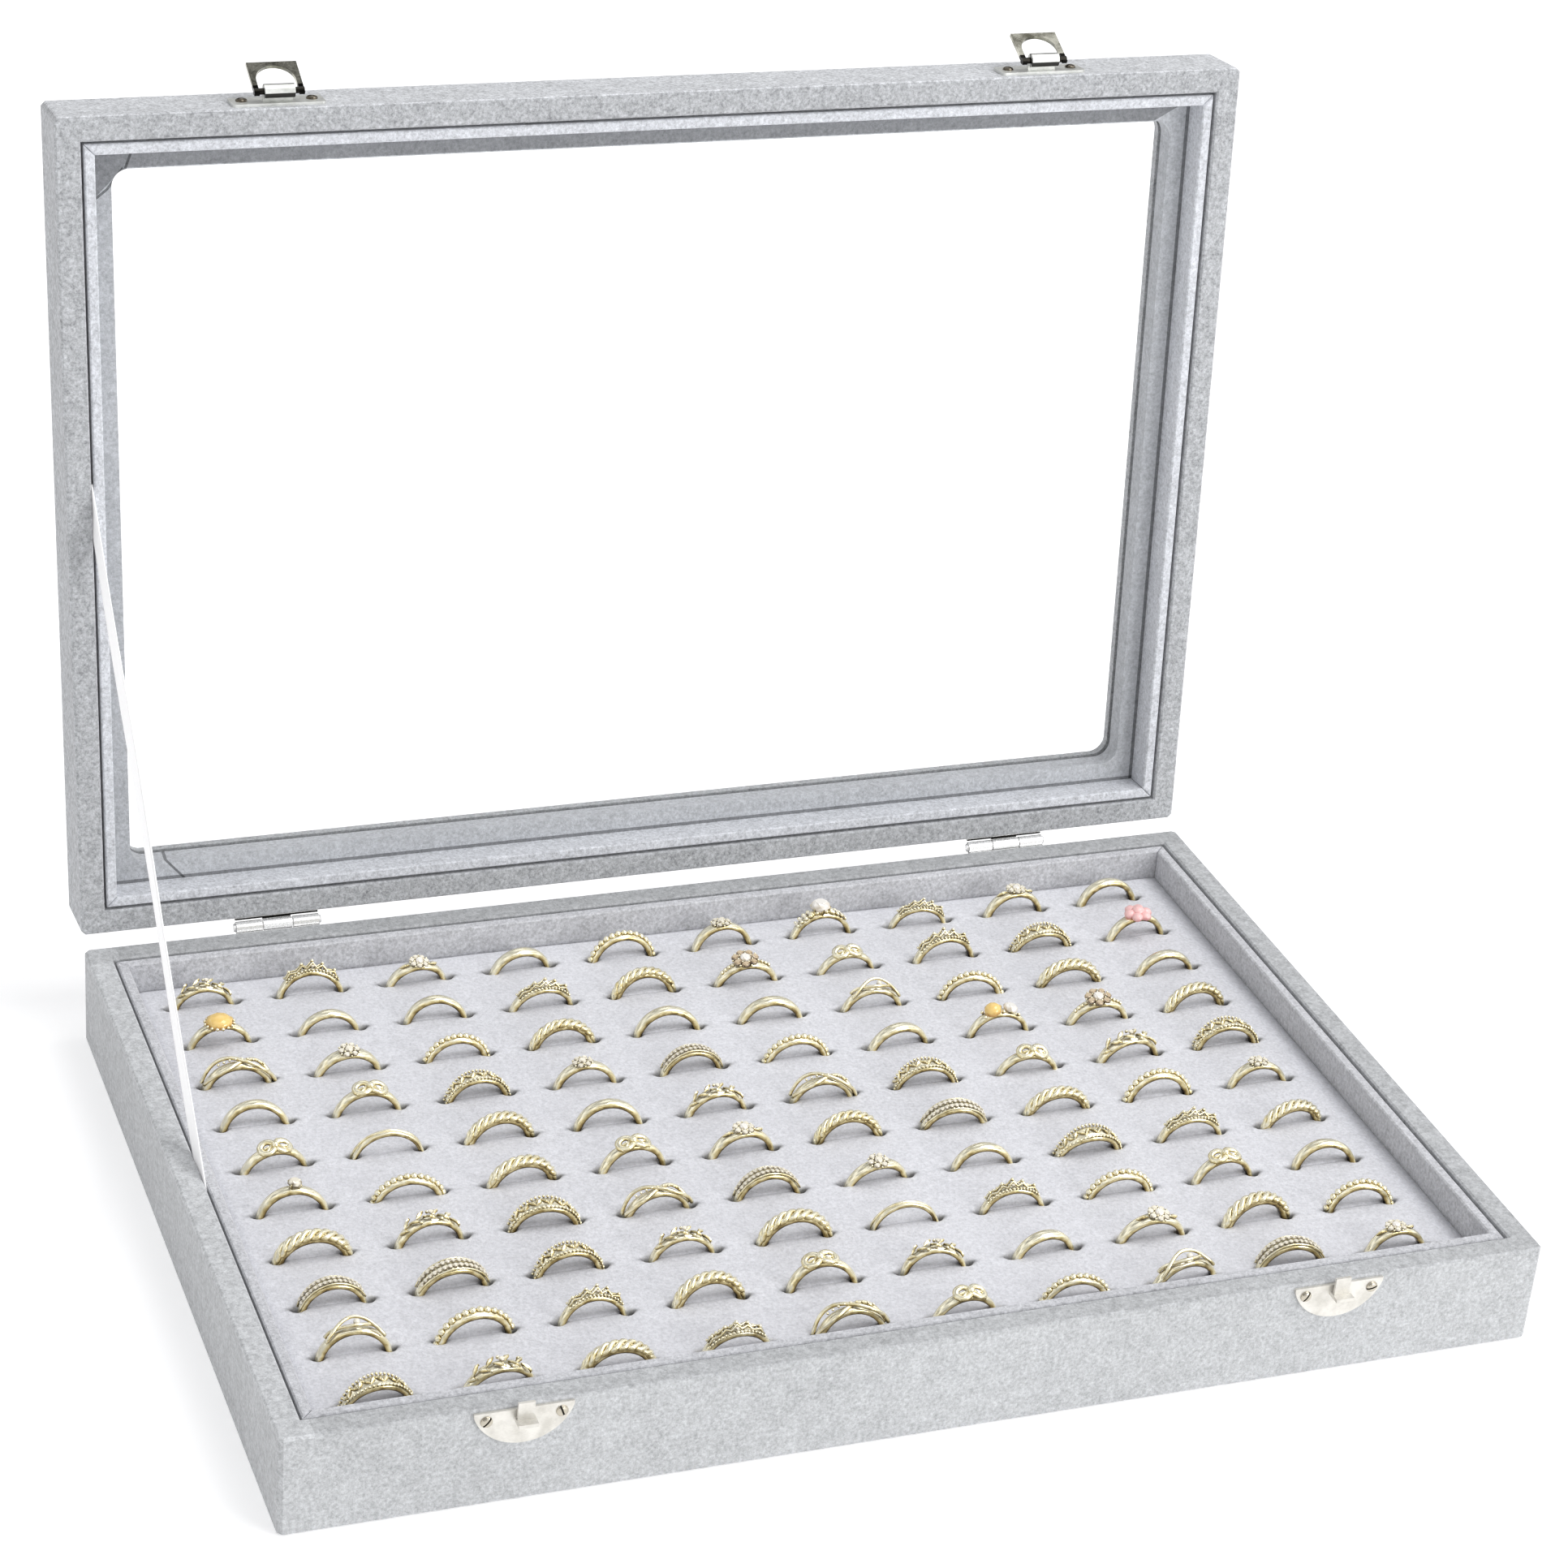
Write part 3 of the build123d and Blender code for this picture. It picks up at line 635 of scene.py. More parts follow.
    def leaf(self, angle, across, turn, length, width, lift=0.3):
        """A pointed leaf with a raised rib, lying on the band and turned on it in degrees, with a painted
        highlight on its rib and painted shade at its edges.
        """
        out, along, side = self.ways(self.spot(angle))
        way = along * math.cos(math.radians(turn)) + side * math.sin(math.radians(turn))
        over = out.cross(way)
        root = self.spot(angle, across, lift)
        layer = self.gold.verts.layers.float["polish"]
        rib, left, right, under = [], [], [], []
        outline = ((0.0, 0.1, 0.0), (0.3, 0.8, 0.5), (0.62, 0.9, 0.7), (0.85, 0.5, 0.6), (1.0, 0.04, 0.3))
        for t, wide, up in outline:
            middle = root + way * (t - 0.5) * length * MM + out * up * MM
            rib.append((middle, 1.0))
            left.append((middle + (over * wide * width / 2 - out * 0.45) * MM, 0.25))
            right.append((middle - (over * wide * width / 2 + out * 0.45) * MM, 0.25))
            under.append((middle - out * 0.9 * MM, 0.0))
        lines = []
        for line in (rib, right, under, left):
            lines.append([])
            for point, shine in line:
                vertex = self.gold.verts.new(point)
                vertex[layer] = shine
                lines[-1].append(vertex)
        for one, other in zip(lines, lines[1:] + lines[:1]):
            for i in range(4):
                self.gold.faces.new((one[i], one[i + 1], other[i + 1], other[i]))
        self.gold.faces.new([line[0] for line in lines])
        self.gold.faces.new([line[-1] for line in lines][::-1])

    def bead_row(self, start, end, count, radius, across, lift):
        """Gold beads along the band, from one angle to another."""
        for i in range(count):
            self.bead(self.spot(start + (end - start) * i / (count - 1), across, lift), radius)

    def twist(self, start, end, turns, radius, sway, rise, strands):
        """Wires laid round each other along the band."""
        for strand in range(strands):
            phase = 2 * math.pi * strand / strands
            points = []
            for i in range(twist_steps + 1):
                t = i / twist_steps
                wave = 2 * math.pi * turns * t + phase
                fade = min(1.0, 6 * t, 6 * (1 - t))
                points.append(self.spot(start + (end - start) * t, sway * fade * math.sin(wave),
                                        rise * fade * math.cos(wave)))
            self.wire(points, radius)

    def claws(self, radius, lift, count=4):
        """Claws that rise from the band round a stone."""
        for c, s in circle(count, 0.5):
            reach = Vector((c, s, 0)) * radius * MM
            foot, tip = self.above(-0.6) + reach * 0.6, self.above(lift) + reach
            self.wire([foot, tip, tip - reach * 0.2 + Vector((0, 0, 0.35 * MM))], 0.28, sides=5)

    def flower(self, mesh, petals, middle, size, lift):
        """A stone with smaller ones round it, with grains of gold between them, on a small dish in painted
        shade.
        """
        disc = [Vector((c, s, 0)) * 2.7 * size * MM for c, s in circle(12)]
        low, high = self.above(-1.0), self.above(lift - 0.35)
        self.skin(self.gold, [[point * 0.6 + low for point in disc], [point + high for point in disc]],
                  (0.2,) * 12, ends=True)
        self.gem(self.above(lift + 0.35), 1.35 * size, middle)
        for c, s in circle(petals):
            self.gem(self.above(lift + 0.05, 2.25 * size * c, 2.25 * size * s), 1.0 * size, mesh, 6)
        for c, s in circle(petals, 0.5):
            self.bead(self.above(lift + 0.35, 1.6 * size * c, 1.6 * size * s), 0.36)
            self.bead(self.above(lift + 0.05, 2.9 * size * c, 2.9 * size * s), 0.36)


designs = {}


def banded(letter, half_width, thickness, flare=0.0):
    """Starts the design of a letter with its band."""
    designs[letter] = RingDesign()
    designs[letter].band(half_width, thickness, flare)
    return designs[letter]


# plain: a smooth domed band, and one with a groove between two thin rims
banded("p", 1.2, 1.3, 0.2)
ring = banded("z", 0.7, 0.8)
for side in (-0.95, 0.95):
    rim = []
    for i in range(48):
        angle = 7.5 * i
        rim.append(ring.spot(angle, side * (1.0 - 0.5 * math.cos(math.radians(angle))), -0.2))
    ring.wire(rim, 0.5, closed=True)

# wide: two roped rims with lozenges between them
ring = banded("w", 1.1, 1.3, 1.1)
for side in (-1, 1):
    for i in range(25):
        angle = -78 + 6.5 * i
        edge = 0.85 + 1.1 * math.cos(math.radians(angle)) ** 2
        ring.bead(ring.spot(angle, side * edge), 0.46)
for i in range(13):
    ring.leaf(-60 + 10 * i, 0, 50 if i % 2 else -50, 2.8, 1.4, 0.05)

# beaded, in one row of large grains
ring = banded("d", 1.05, 1.2, 0.3)
ring.bead_row(-76, 76, 15, 1.05, 0.0, 0.1)

# braided: three strands laid round each other
ring = banded("x", 0.9, 1.3, 0.2)
ring.twist(-82, 82, 4.0, 0.85, 1.0, 0.5, 3)

# double row of small stones between two rims
ring = banded("r", 1.1, 1.3, 0.8)
for side in (-1, 1):
    for i in range(15):
        ring.gem(ring.spot(-56 + 8 * i, side * 0.78, 0.25), 0.78, ring.crystal, 6)
    rim = []
    for angle in range(-70, 71, 7):
        rim.append(ring.spot(angle, side * 1.75 * math.cos(math.radians(angle)) ** 0.5))
    ring.wire(rim, 0.3, sides=5)

# crossed: two ribbons that pass over each other at the top
ring = banded("v", 1.1, 1.25)
for side in (-1, 1):
    strip = []
    for angle in range(-72, 73, 6):
        sway = math.sin(math.radians(-2.2 * angle)) * math.cos(math.radians(angle))
        strip.append(ring.spot(angle, side * 2.2 * sway, 0.5 + 0.35 * side))
    ring.wire(strip, 0.62)
ring.bead_row(-34, 34, 9, 0.42, 0.0, 1.3)

# single stones: a pink one with six petals, and a clear one
ring = banded("s", 1.1, 1.25, 0.2)
for c, s in circle(6):
    ring.bead(ring.above(0.4, 2.9 * c, 2.9 * s), 1.9, ring.rose, 0.7)
ring.bead(ring.above(1.1), 2.2, ring.rose, 0.75)
ring.claws(2.1, 1.1)
ring = banded("u", 1.1, 1.25, 0.2)
ring.gem(ring.above(1.1), 2.1, ring.crystal)
ring.claws(2.1, 1.1)

# large amber dome with a beaded rim
ring = banded("o", 0.95, 1.15, 0.5)
ring.bead(ring.above(0.6, 0.0, -0.6), 4.4, ring.amber, 0.5)
for c, s in circle(16):
    ring.bead(ring.above(0.3, 4.4 * c, 4.4 * s - 0.6), 0.55)

# large pale stone in six claws, with small stones and grains down the shoulders
ring = banded("q", 0.95, 1.15, 0.5)
ring.gem(ring.above(1.7), 3.2, ring.pearl, 8, 0.6)
ring.claws(3.1, 1.9, 6)
ring.bead_row(-17, 17, 5, 1.1, -0.5, 0.2)
for side in (-1, 1):
    for i in range(4):
        angle = side * (20 + 9 * i)
        ring.gem(ring.spot(angle, 0, 0.6 - 0.1 * i), 0.8, ring.crystal, 6)
        for across in (0.9, -0.9):
            ring.bead(ring.spot(angle, across, 0.2), 0.85 - 0.1 * i)

# amber dome and pale stone side by side
ring = banded("y", 0.95, 1.15, 0.5)
ring.bead(ring.spot(-13, 0, 0.5), 2.9, ring.amber, 0.75)
ring.gem(ring.spot(17, 0, 0.8), 2.5, ring.pearl)
for angle in (-30, -13, 3, 17, 32):
    for across in (1.2, -1.2):
        ring.bead(ring.spot(angle, across, 0.2), 0.6)

# clusters: flowers of clear stones, of pearls and of dark stones
ring = banded("c", 1.1, 1.25, 0.4)
ring.flower(ring.crystal, 6, ring.crystal, 1.05, 0.1)
ring = banded("t", 1.1, 1.25, 0.4)
ring.flower(ring.crystal, 7, ring.pearl, 1.05, 0.4)
for side in (-1, 1):
    ring.leaf(side * 27, 0, 20 * side, 3.4, 1.7)
ring = banded("g", 1.1, 1.25, 0.4)
ring.flower(ring.onyx, 7, ring.pearl, 1.35, 0.9)
for start in (-44, 22):
    ring.bead_row(start, start + 22, 4, 0.62, 0.0, 0.2)

# leaf spray, with grains for berries
ring = banded("l", 1.1, 1.2, 0.4)
for i in range(9):
    angle = -44 + 11 * i
    way = 1 if i % 2 else -1
    ring.leaf(angle, 0.7 * way, 38 * way, 3.6, 1.6, 0.35 + 0.5 * math.cos(math.radians(2 * angle)))
for angle, across in ((-30, 1.4), (-14, -1.5), (2, 1.5), (18, -1.4), (33, 1.2)):
    ring.bead(ring.spot(angle, across, 0.5), 0.55)
ring.gem(ring.spot(4, 0, 1.6), 0.95, ring.crystal, 6)

# crown: peaks of wire with a grain on each tip
ring = banded("k", 1.0, 1.15, 0.4)
peaks = ((-48, 0.2), (-36, 1.0), (-26, 0.2), (-15, 1.5), (-8, 0.3), (0, 2.1), (8, 0.3), (15, 1.5), (26, 0.2),
         (36, 1.0), (48, 0.2))
for across in (0.5, -0.5):
    ring.wire([ring.spot(angle, across, lift) for angle, lift in peaks], 0.36, sides=5)
for angle, lift in peaks[1::2]:
    ring.bead(ring.spot(angle, 0, lift + 0.35), 0.55)
for across in (1.1, -1.1):
    ring.bead_row(-48, 48, 17, 0.42, across, 0.1)
ring.gem(ring.spot(0, -0.7, 1.1), 0.8, ring.crystal, 6)

# bow: two loops and a knot, and an open knot of wire
ring = banded("b", 1.1, 1.2, 0.2)
for side in (-1, 1):
    loop = [ring.spot(side * (12.5 - 11.5 * c), 1.4 * s, 0.5 + 0.45 * s) for c, s in circle(16)]
    ring.wire(loop, 0.66, flat=1.6, closed=True)
    ring.leaf(side * 13, 0, 0, 3.4, 1.6, 0.2)
    tail = [ring.spot(side * 4, 0.3, 0.8), ring.spot(side * 14, -1.0, 0.3), ring.spot(side * 24, -1.6, 0.1)]
    ring.wire(tail, 0.5)
ring.bead(ring.spot(0, 0, 0.8), 1.2)
ring = banded("m", 1.1, 1.2)
for side in (-1, 1):
    knot = []
    for angle in range(-46, 47, 4):
        turn = math.radians(angle)
        lift = 0.9 + 0.9 * math.cos(3 * turn) + 0.3 * side
        knot.append(ring.spot(angle, side * 1.2 * math.cos(4 * turn), lift))
    ring.wire(knot, 0.52)
ring.bead(ring.spot(2, -0.6, 2.0), 0.9, ring.crystal)

# One letter for each slit, the back row first
ring_rows = (
    "lktpdcqktp",
    "oppkxgbkws",
    "vcdxppmdxp",
    "pbwcrdpygx",
    "bzxplvwblw",
    "udxbtxrxdc",
    "xlwvrcpwkx",
    "rrwlxzkdbp",
    "mdkxblptxd",
    "wlxkvbdmrt",
)

# Painted light and shade: the gold runs from near-black in its hollows and under its parts to pale highlights
# on its tops, mottled by a fine speckle
plating, tree, place = new_material("gold_plating")
painted_light_and_speckle = tree.attribute("polish") * 1.1 + (place.speckle(480.0, 1.0) - 0.5) * 0.9
painted_gold = painted_light_and_speckle.ramp((0.0, (0.03, 0.016, 0.006)), (0.33, (0.36, 0.26, 0.09)), (0.68, (0.88, 0.76, 0.42)),
                   (1.0, (1.0, 0.95, 0.74)))
surface(tree, {"Base Color": painted_gold, "Metallic": 0.7, "Roughness": 0.22})


def stone_finish(name, dark, pale, roughness):
    """Glass or shell, with painted reflections: its cut facets painted darker and paler by turns, with a
    speckle of glints.
    """
    material, tree, place = new_material(name)
    sparkle = tree.attribute("polish") * 0.7 + place.speckle(800.0, 0.0) * 0.45
    surface(tree, {"Base Color": sparkle.ramp((0.25, dark), (0.75, pale)), "Roughness": roughness,
                   "Specular IOR Level": 0.9})
    return material


finishes = {
    "gold": plating,
    "crystal": stone_finish("clear_stones", (0.20, 0.15, 0.08), (0.95, 0.90, 0.76), 0.08),
    "pearl": stone_finish("pearls", (0.70, 0.62, 0.50), (0.95, 0.92, 0.86), 0.25),
    "rose": stone_finish("rose_stones", (0.70, 0.26, 0.26), (0.98, 0.60, 0.58), 0.30),
    "amber": stone_finish("amber_stones", (0.55, 0.25, 0.03), (0.98, 0.68, 0.22), 0.15),
    "onyx": stone_finish("dark_stones", (0.07, 0.035, 0.015), (0.66, 0.52, 0.34), 0.12),
}

shelves = bpy.data.collections.new("ring_kinds")
setting, tree, given = node_group("set_rings", Kinds=shelves, Lean=1.0, Size=1.0, Seed=1, Finish=plating)
picked = tree.node("GeometryNodeCollectionInfo", {}, {"Collection": given["Kinds"], "Separate Children": True,
                                                      "Reset Children": True})
number = tree.node("GeometryNodeInputNamedAttribute", {"data_type": "INT"}, {"Name": "number"})
design = tree.node("GeometryNodeInputNamedAttribute", {"data_type": "INT"}, {"Name": "design"})


def chance(low, high, step):
    """A random number for each ring, the same for its gold and its stones."""
    return tree.node("FunctionNodeRandomValue", {"data_type": "FLOAT"},
                     {2: low, 3: high, "ID": number, "Seed": given["Seed"] + step}, output=1)


turned = tree.node("ShaderNodeCombineXYZ", {}, {"X": chance(-1.0, 1.0, 1) * given["Lean"],
                                                "Y": chance(-1.0, 1.0, 2) * given["Lean"] * 0.8,
                                                "Z": chance(-1.0, 1.0, 3) * given["Lean"] * 0.7})
sized = 1.0 - chance(0.0, 1.0, 4) * given["Size"]
placed = tree.node("GeometryNodeInstanceOnPoints", {}, {"Points": given["Geometry"], "Instance": picked,
                                                        "Pick Instance": True, "Instance Index": design,
                                                        "Rotation": turned, "Scale": sized})
end_group(tree, placed, given["Finish"])

# Collection Info picks the kinds by the alphabet
letters = sorted(designs)
lean, size_spread, ring_seed = 0.13, 0.10, 8


def ring_points(rows):
    """The middles of the rings of some rows, with each one's design and number."""
    mesh = bpy.data.meshes.new("ring_places")
    spots = [(row, column) for row in rows for column in range(ring_count)]
    height = pad_top - ring_sink
    mesh.from_pydata([(column_places[column], row_places[row], height) for row, column in spots], [], [])
    for name, values in (("design", [letters.index(ring_rows[row][column]) for row, column in spots]),
                         ("number", [row * ring_count + column for row, column in spots])):
        mesh.attributes.new(name, "INT", "POINT").data.foreach_set("value", values)
    return mesh


def set_out(name, rows, finish):
    """What the kinds on the shelves have of a finish, at the slits of some rows, as one piece."""
    return grown(name, setting, ring_points(rows), Kinds=shelves, Lean=lean, Size=size_spread,
                 Seed=ring_seed, Finish=finish)


for kind, finish in finishes.items():
    for letter in letters:
        mesh = getattr(designs[letter], kind)
        bmesh.ops.recalc_face_normals(mesh, faces=mesh.faces)
        name = f"{kind}_{letter}"
        shelves.objects.link(bpy.data.objects.new(name, as_mesh(name, mesh)))
    if kind == "gold":
        for row in range(ring_count):
            rings = set_out(f"rings_{row + 1:02d}", [row], finish)
            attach(rings, "base")
            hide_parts(f"rings_row_{row + 1:02d}")
    else:
        stones = set_out(f"{kind}_stones", range(ring_count), finish)
        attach(stones, "base")
    for part in list(shelves.objects):
        bpy.data.objects.remove(part)

# Hinges: a pair of small nickel-plated butt hinges. Each leaf is a strip bent out at
# its edge and rolled round the pin, screwed flat to the rear of its board.
hinge_y, hinge_z, hinge_x = 122.7 * MM, 30.2 * MM, 117.0 * MM
knuckle_reach = 2.6 * MM


def metal(name, dark, pale, roughness, patches=200.0, metallic=1.0, roll=None, arcs=()):
    """Plated metal, darker in soft patches where it is handled, with fine scratches.

    Roll is where it is rolled round a pin, as (Y, Z, radius). Near-black painted shade lies there, over arcs
    that are given in degrees round the pin.
    """
    material, tree, place = new_material(name)
    patch = place.speckle(patches, 3.0, 0.6)
    scratch = place.scaled(1.0, 1.0, 9.0, (0.3, 0.8, 0.2)).speckle(1500.0, 1.0)
    tone = (patch * 0.75 + scratch * 0.25).ramp((0.36, dark), (0.60, pale))
    if roll:
        across, up = place.reach(*backward) - roll[0], place.reach(*upward) - roll[1]
        near = tree.maths("LESS_THAN", across * across + up * up, roll[2] ** 2)
        angle = tree.maths("ARCTAN2", up, across)
        painted_dark_arcs = sum(angle.within(math.radians(start), math.radians(end)) for start, end in arcs)
        tone = (near * painted_dark_arcs).mix(tone, (0.015, 0.014, 0.012, 1.0))
    surface(tree, {"Base Color": tone, "Metallic": metallic, "Roughness": scratch * 0.16 + roughness})
    return material


# Painted shade: two near-black arcs along the hinges' knuckles
nickel = metal("nickel_plate", (0.90, 0.90, 0.89), (0.98, 0.98, 0.98), 0.18, patches=120.0, metallic=0.6,
               roll=(hinge_y, hinge_z, knuckle_reach), arcs=((56, 84), (-150, -122)))
for side in ("left", "right"):
    wear(nickel, f"hinge_base_leaf_{side}", f"hinge_lid_leaf_{side}", f"hinge_pin_{side}")

# Hasps: arched plates with darkened plating, thrown back here. Each has a bar that
# turns in the rolled eye of its bracket, and the bracket is screwed to the lid's
# front edge.
bar_y, bar_z, hasp_x = 149.47 * MM, 275.36 * MM, 113.0 * MM
bar_reach, eye_reach = 2.0 * MM, 2.4 * MM
# Painted shade: the hasps' bars are near-black where they turn in the eyes, and the eyes have near-black arcs
aged_silver = metal("aged_plate", (0.16, 0.155, 0.12), (0.62, 0.61, 0.53), 0.14,
                    roll=(bar_y, bar_z, bar_reach), arcs=((-180, 180),))
pale_silver = metal("pale_plate", (0.55, 0.56, 0.53), (0.78, 0.79, 0.76), 0.24, metallic=0.45,
                    roll=(bar_y, bar_z, eye_reach), arcs=((62, 96), (-178, -130), (-116, -98)))
wear(aged_silver, "hasp_plate_left", "hasp_plate_right")
wear(pale_silver, "hasp_bracket_left", "hasp_bracket_right")

# Catches: half-round plates of pale gilt, pressed with a nose that the hasp's arch
# drops over and a tab to lift it by, and screwed to the front of the base.
pale_gilt = metal("pale_gilt", (0.58, 0.56, 0.51), (0.76, 0.74, 0.69), 0.24, metallic=0.5)
wear(pale_gilt, "catch_left", "catch_right")

# Screws: sixteen small slotted ones with domed heads, four to each pair of fittings.
# They hold the hinges, the hasps' brackets and the catches to the boards. Each is
# turned as far as it would go, so the slots point every way.
screw_radius, shank_radius, screw_length = 1.6 * MM, 0.9 * MM, 5.0 * MM
dome_height, dome_rim, slot_width, slot_floor = 0.9 * MM, 0.22, 0.5 * MM, 0.15 * MM
weld = 0.01 * MM


def screw_shape():
    """One screw, head up, with its slot cut across the dome and painted shade at the bottom of the slot."""
    mesh = bmesh.new()
    layer = mesh.verts.layers.float.new("polish")
    tilts = [math.pi / 2 * k / 5 for k in range(6)]
    arc = [(screw_radius * math.sin(tilt), dome_height * (dome_rim + (1 - dome_rim) * math.cos(tilt)))
           for tilt in tilts]
    for side in (-1, 1):
        rows = []
        for radius, height in arc:
            row = []
            for k in range(9):
                turn = math.pi * k / 8
                away = max(slot_width / 2, radius * math.sin(turn))
                row.append(mesh.verts.new((radius * math.cos(turn) * side, away * side, height)))
            rows.append(row)
        foot = [mesh.verts.new((vertex.co.x, vertex.co.y, 0)) for vertex in rows[-1]]
        for high, low in zip(rows + [rows[-1]], rows[1:] + [foot]):
            for k in range(8):
                mesh.faces.new((high[k], low[k], low[k + 1], high[k + 1]))
        wall = [row[0] for row in rows] + [foot[0], foot[-1]] + [row[-1] for row in reversed(rows)]
        mesh.faces.new(wall[::-1])
    for vertex in mesh.verts:
        vertex[layer] = 1.0
    foot_radius = screw_radius * 0.97
    mesh.faces.new([mesh.verts.new((foot_radius * c, foot_radius * s, slot_floor)) for c, s in circle(16)])
    bmesh.ops.create_cone(mesh, segments=10, radius1=shank_radius * 0.4, radius2=shank_radius,
                          depth=screw_length, cap_ends=True,
                          matrix=Matrix.Translation((0, 0, -screw_length / 2)))
    bmesh.ops.remove_doubles(mesh, verts=mesh.verts, dist=weld)
    bmesh.ops.dissolve_degenerate(mesh, edges=mesh.edges, dist=weld)
    bmesh.ops.recalc_face_normals(mesh, faces=mesh.faces)
    return bpy.data.objects.new("screw", as_mesh("screw", mesh))


screw_colours = {"nickel": (0.80, 0.79, 0.76), "aged": (0.16, 0.14, 0.11), "gilt": (0.50, 0.46, 0.38)}
screw_metals = {}
for name, shade in screw_colours.items():
    material, tree, _ = new_material(f"{name}_screws")
    # Each screw's colour runs from painted shade at the bottom of its slot to its plating
    colour = tree.attribute("polish").ramp((0.0, (0.02, 0.018, 0.015)), (0.6, shade))
    surface(tree, {"Base Color": colour, "Metallic": 0.9, "Roughness": 0.25})
    screw_metals[name] = material

screw = screw_shape()
driven, tree, given = node_group("drive_screws", Screw=screw, Seed=3, Plating=nickel)
facing = tree.node("GeometryNodeInputNamedAttribute", {"data_type": "FLOAT_VECTOR"}, {"Name": "facing"})
spin = tree.node("FunctionNodeRandomValue", {"data_type": "FLOAT"}, {2: 0.0, 3: 3.14, "Seed": given["Seed"]},
                 output=1)
half_turn = tree.node("ShaderNodeCombineXYZ", {}, {"Z": spin})
turned = tree.node("FunctionNodeRotateRotation", {"rotation_space": "LOCAL"}, {
    "Rotation": tree.node("FunctionNodeEulerToRotation", {}, {0: facing}),
    "Rotate By": tree.node("FunctionNodeEulerToRotation", {}, {0: half_turn})})
one_screw = tree.node("GeometryNodeObjectInfo", {}, {"Object": given["Screw"]}, "Geometry")
placed = tree.node("GeometryNodeInstanceOnPoints", {}, {"Points": given["Geometry"], "Rotation": turned,
                                                        "Instance": one_screw})
end_group(tree, placed, given["Plating"])

# Each row gives a node, its body, the way its heads face, how far its fittings stand from the middle of the
# case and its screws from the middle of a fitting, its metal, its slot and its seed
hinge_spread, hasp_spread = 7.0 * MM, 9.8 * MM
to_back, to_front = Vector((0, 1, 0)), Vector((0, -1, 0))
screw_rows = (
    ("base_hinge_screws", "base", to_back, hinge_x, hinge_spread, "nickel", "nickel_plate", 17),
    ("lid_hinge_screws", "lid", lid_turn @ to_back, hinge_x, hinge_spread, "nickel", "nickel_plate", 16),
    ("catch_screws", "base", to_front, hasp_x, hasp_spread, "gilt", "pale_gilt", 12),
    ("hasp_bracket_screws", "lid", lid_turn @ to_front, hasp_x, hasp_spread, "aged", "aged_brass", 19),
)
for node, body, way, middle, spread, metal_name, slot_name, seed in screw_rows:
    corners = [vertex.co for vertex in nodes[node].data.vertices]
    top = max(corner.dot(way) for corner in corners)
    crown = [corner for corner in corners if corner.dot(way) > top - 0.1 * MM]
    level = sum(crown, Vector()) / len(crown) - way * dome_height
    places = [(side * middle + end * spread, level.y, level.z) for side in (-1, 1) for end in (-1, 1)]
    mesh = bpy.data.meshes.new("screw_places")
    mesh.from_pydata(places, [], [])
    turn = tuple(way.to_track_quat("Z", "X").to_euler())
    mesh.attributes.new("facing", "FLOAT_VECTOR", "POINT").data.foreach_set("vector", turn * len(places))
    screws = grown(f"slotted_{node}", driven, mesh, Screw=screw, Seed=seed, Plating=screw_metals[metal_name])
    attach(screws, body)
    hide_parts(node)
bpy.data.objects.remove(screw)

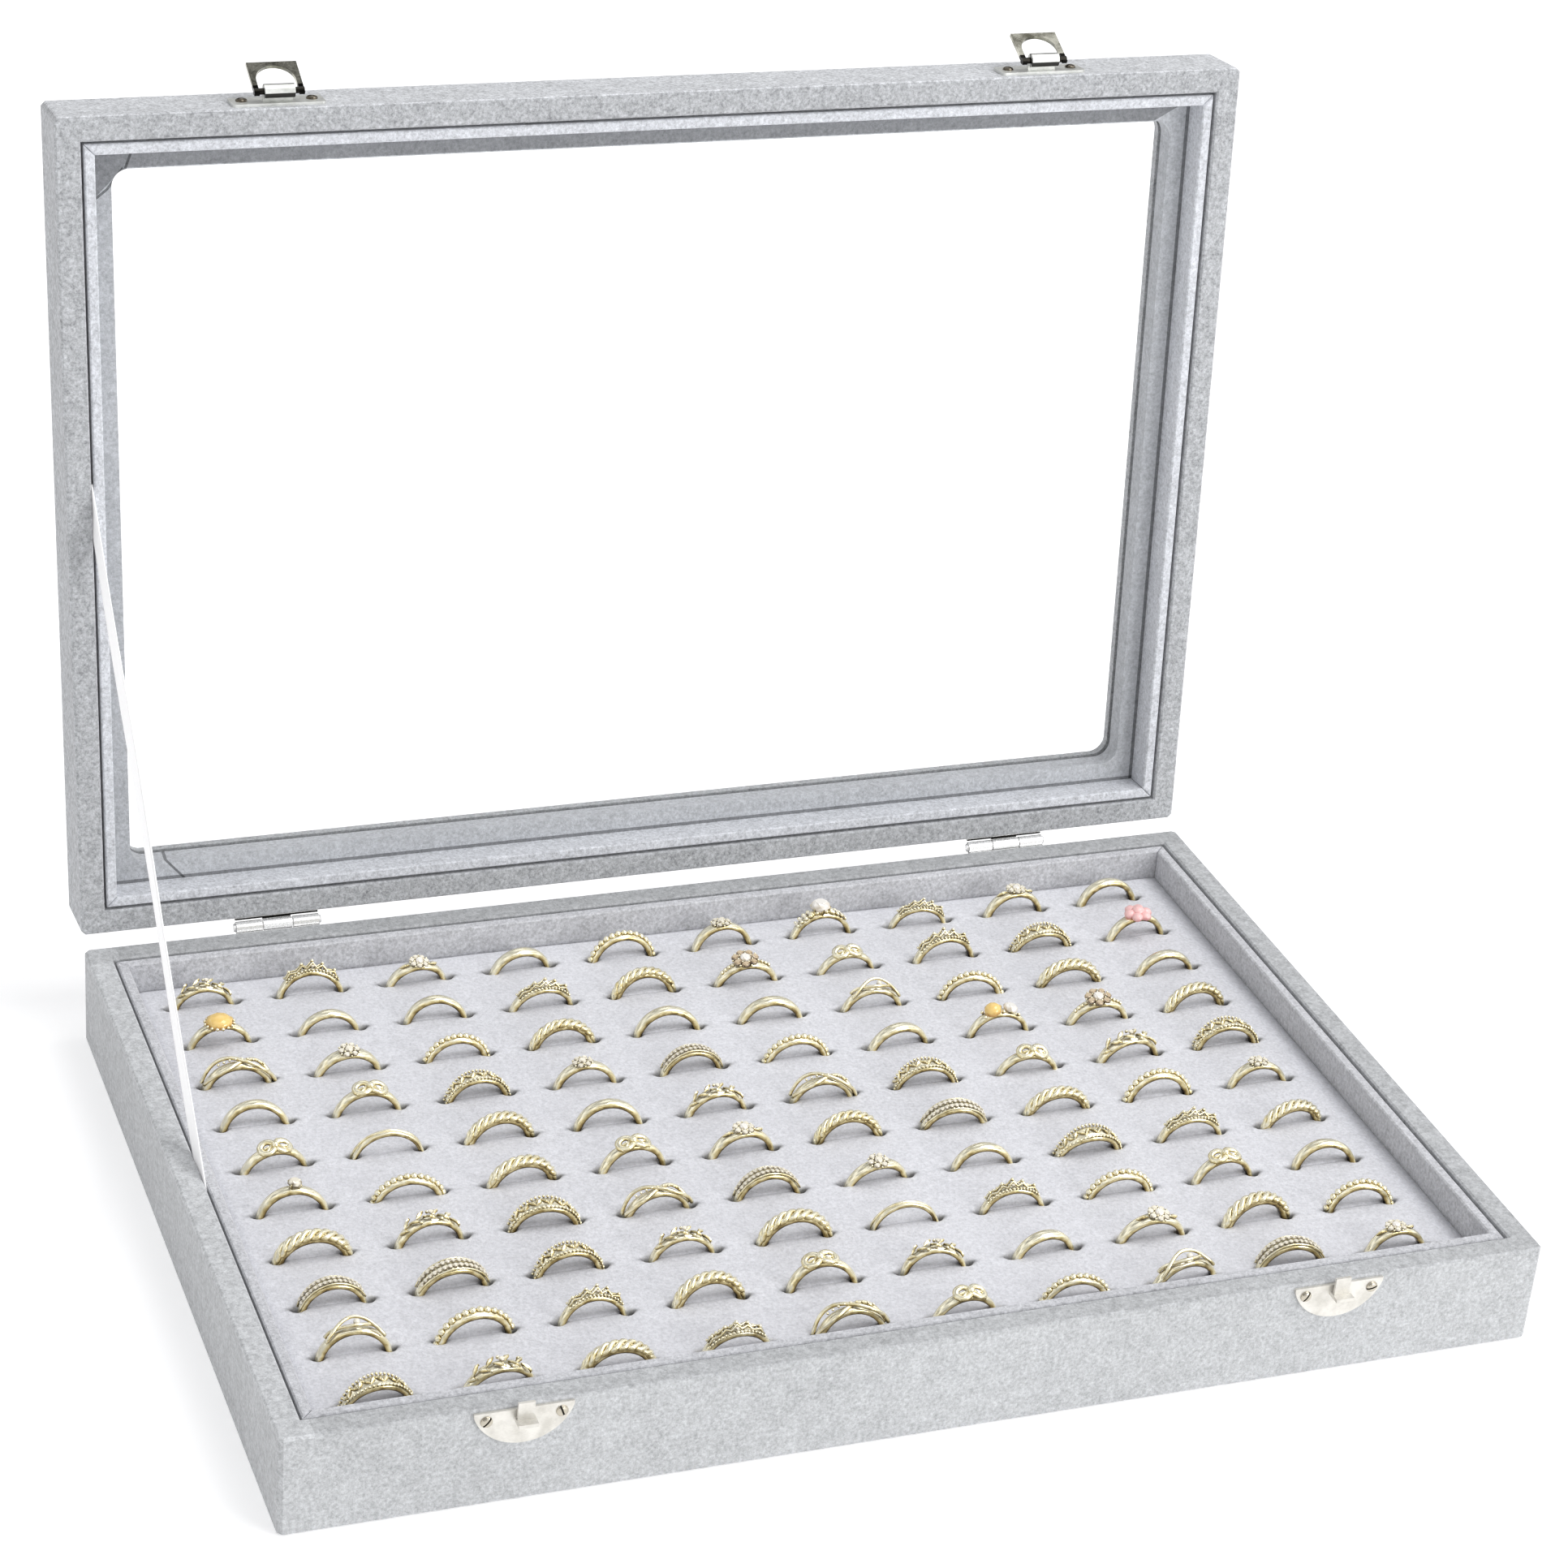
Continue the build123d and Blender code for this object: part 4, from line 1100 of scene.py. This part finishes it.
# Ribbon stay: a white woven ribbon with a corded edge, glued into the left grooves
# of the base and of the lid. It is straight when the lid is open and stops it there.
ribbon_width, ribbon_thickness, ribbon_tuck = 10.0 * MM, 0.4 * MM, 7.5 * MM
ribbon_x = -167.6 * MM
ribbon_foot = Vector((ribbon_x, 0.5 * MM, 30.0 * MM))
head_when_shut = Vector((ribbon_x, -8.0 * MM, 30.4 * MM))
hinge_line = Vector((0, hinge_y, hinge_z))
ribbon_head = hinge_line + lid_turn @ (head_when_shut - hinge_line)
ribbon_run = (ribbon_head - ribbon_foot).normalized()
ribbon_side = Vector((1, 0, 0)).cross(ribbon_run)
ribbon_length = (ribbon_head - ribbon_foot).length + 2 * ribbon_tuck
long_steps, wide_steps = 80, 8
waviness, cupping = 0.25 * MM, 0.12 * MM
points, uvs = [], []
for i in range(long_steps + 1):
    t = i / long_steps
    for j in range(wide_steps + 1):
        w = j / wide_steps - 0.5
        bow = waviness * math.sin(math.pi * t) * math.sin(9 * t + 5 * w) + cupping * math.cos(2 * math.pi * w)
        points.append(ribbon_foot + ribbon_run * (ribbon_length * t - ribbon_tuck)
                      + ribbon_side * ribbon_width * w + Vector((bow, 0, 0)))
        uvs.append((w + 0.5, t))
step = wide_steps + 1
faces = [(i * step + j, i * step + j + 1, (i + 1) * step + j + 1, (i + 1) * step + j)
         for i in range(long_steps) for j in range(wide_steps)]
band = bpy.data.meshes.new("ribbon")
band.from_pydata(points, [], faces)
weave_map = band.uv_layers.new(name="weave")
for loop in band.loops:
    weave_map.data[loop.index].uv = uvs[loop.vertex_index]
band.polygons.foreach_set("use_smooth", [True] * len(band.polygons))
satin, tree, _ = new_material("woven_ribbon")
thread = tree.node("ShaderNodeUVMap", {"uv_map": "weave"})
ribs = thread.node("ShaderNodeTexWave", {"bands_direction": "Y"}, {"Vector": thread, "Scale": 75.0})
edge = thread.node("ShaderNodeTexWave", {"bands_direction": "X"}, {"Vector": thread, "Scale": 0.95})
# The ribbon glows a little: painted light that keeps it white
surface(tree, {"Base Color": (ribs * 0.5 + edge * 0.3).ramp((0.0, 0.88), (0.7, 1.0)), "Roughness": 0.55,
               "Sheen Weight": 0.2, "Emission Color": (1, 1, 1, 1), "Emission Strength": 0.12})
ribbon = new_piece("ribbon", band, satin)
thick = ribbon.modifiers.new("thick", "SOLIDIFY")
thick.thickness = ribbon_thickness
thick.offset = 0.0
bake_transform(ribbon, "base", "lid", start=tuple(ribbon_foot), end=tuple(ribbon_head))
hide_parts("stay_ribbon")
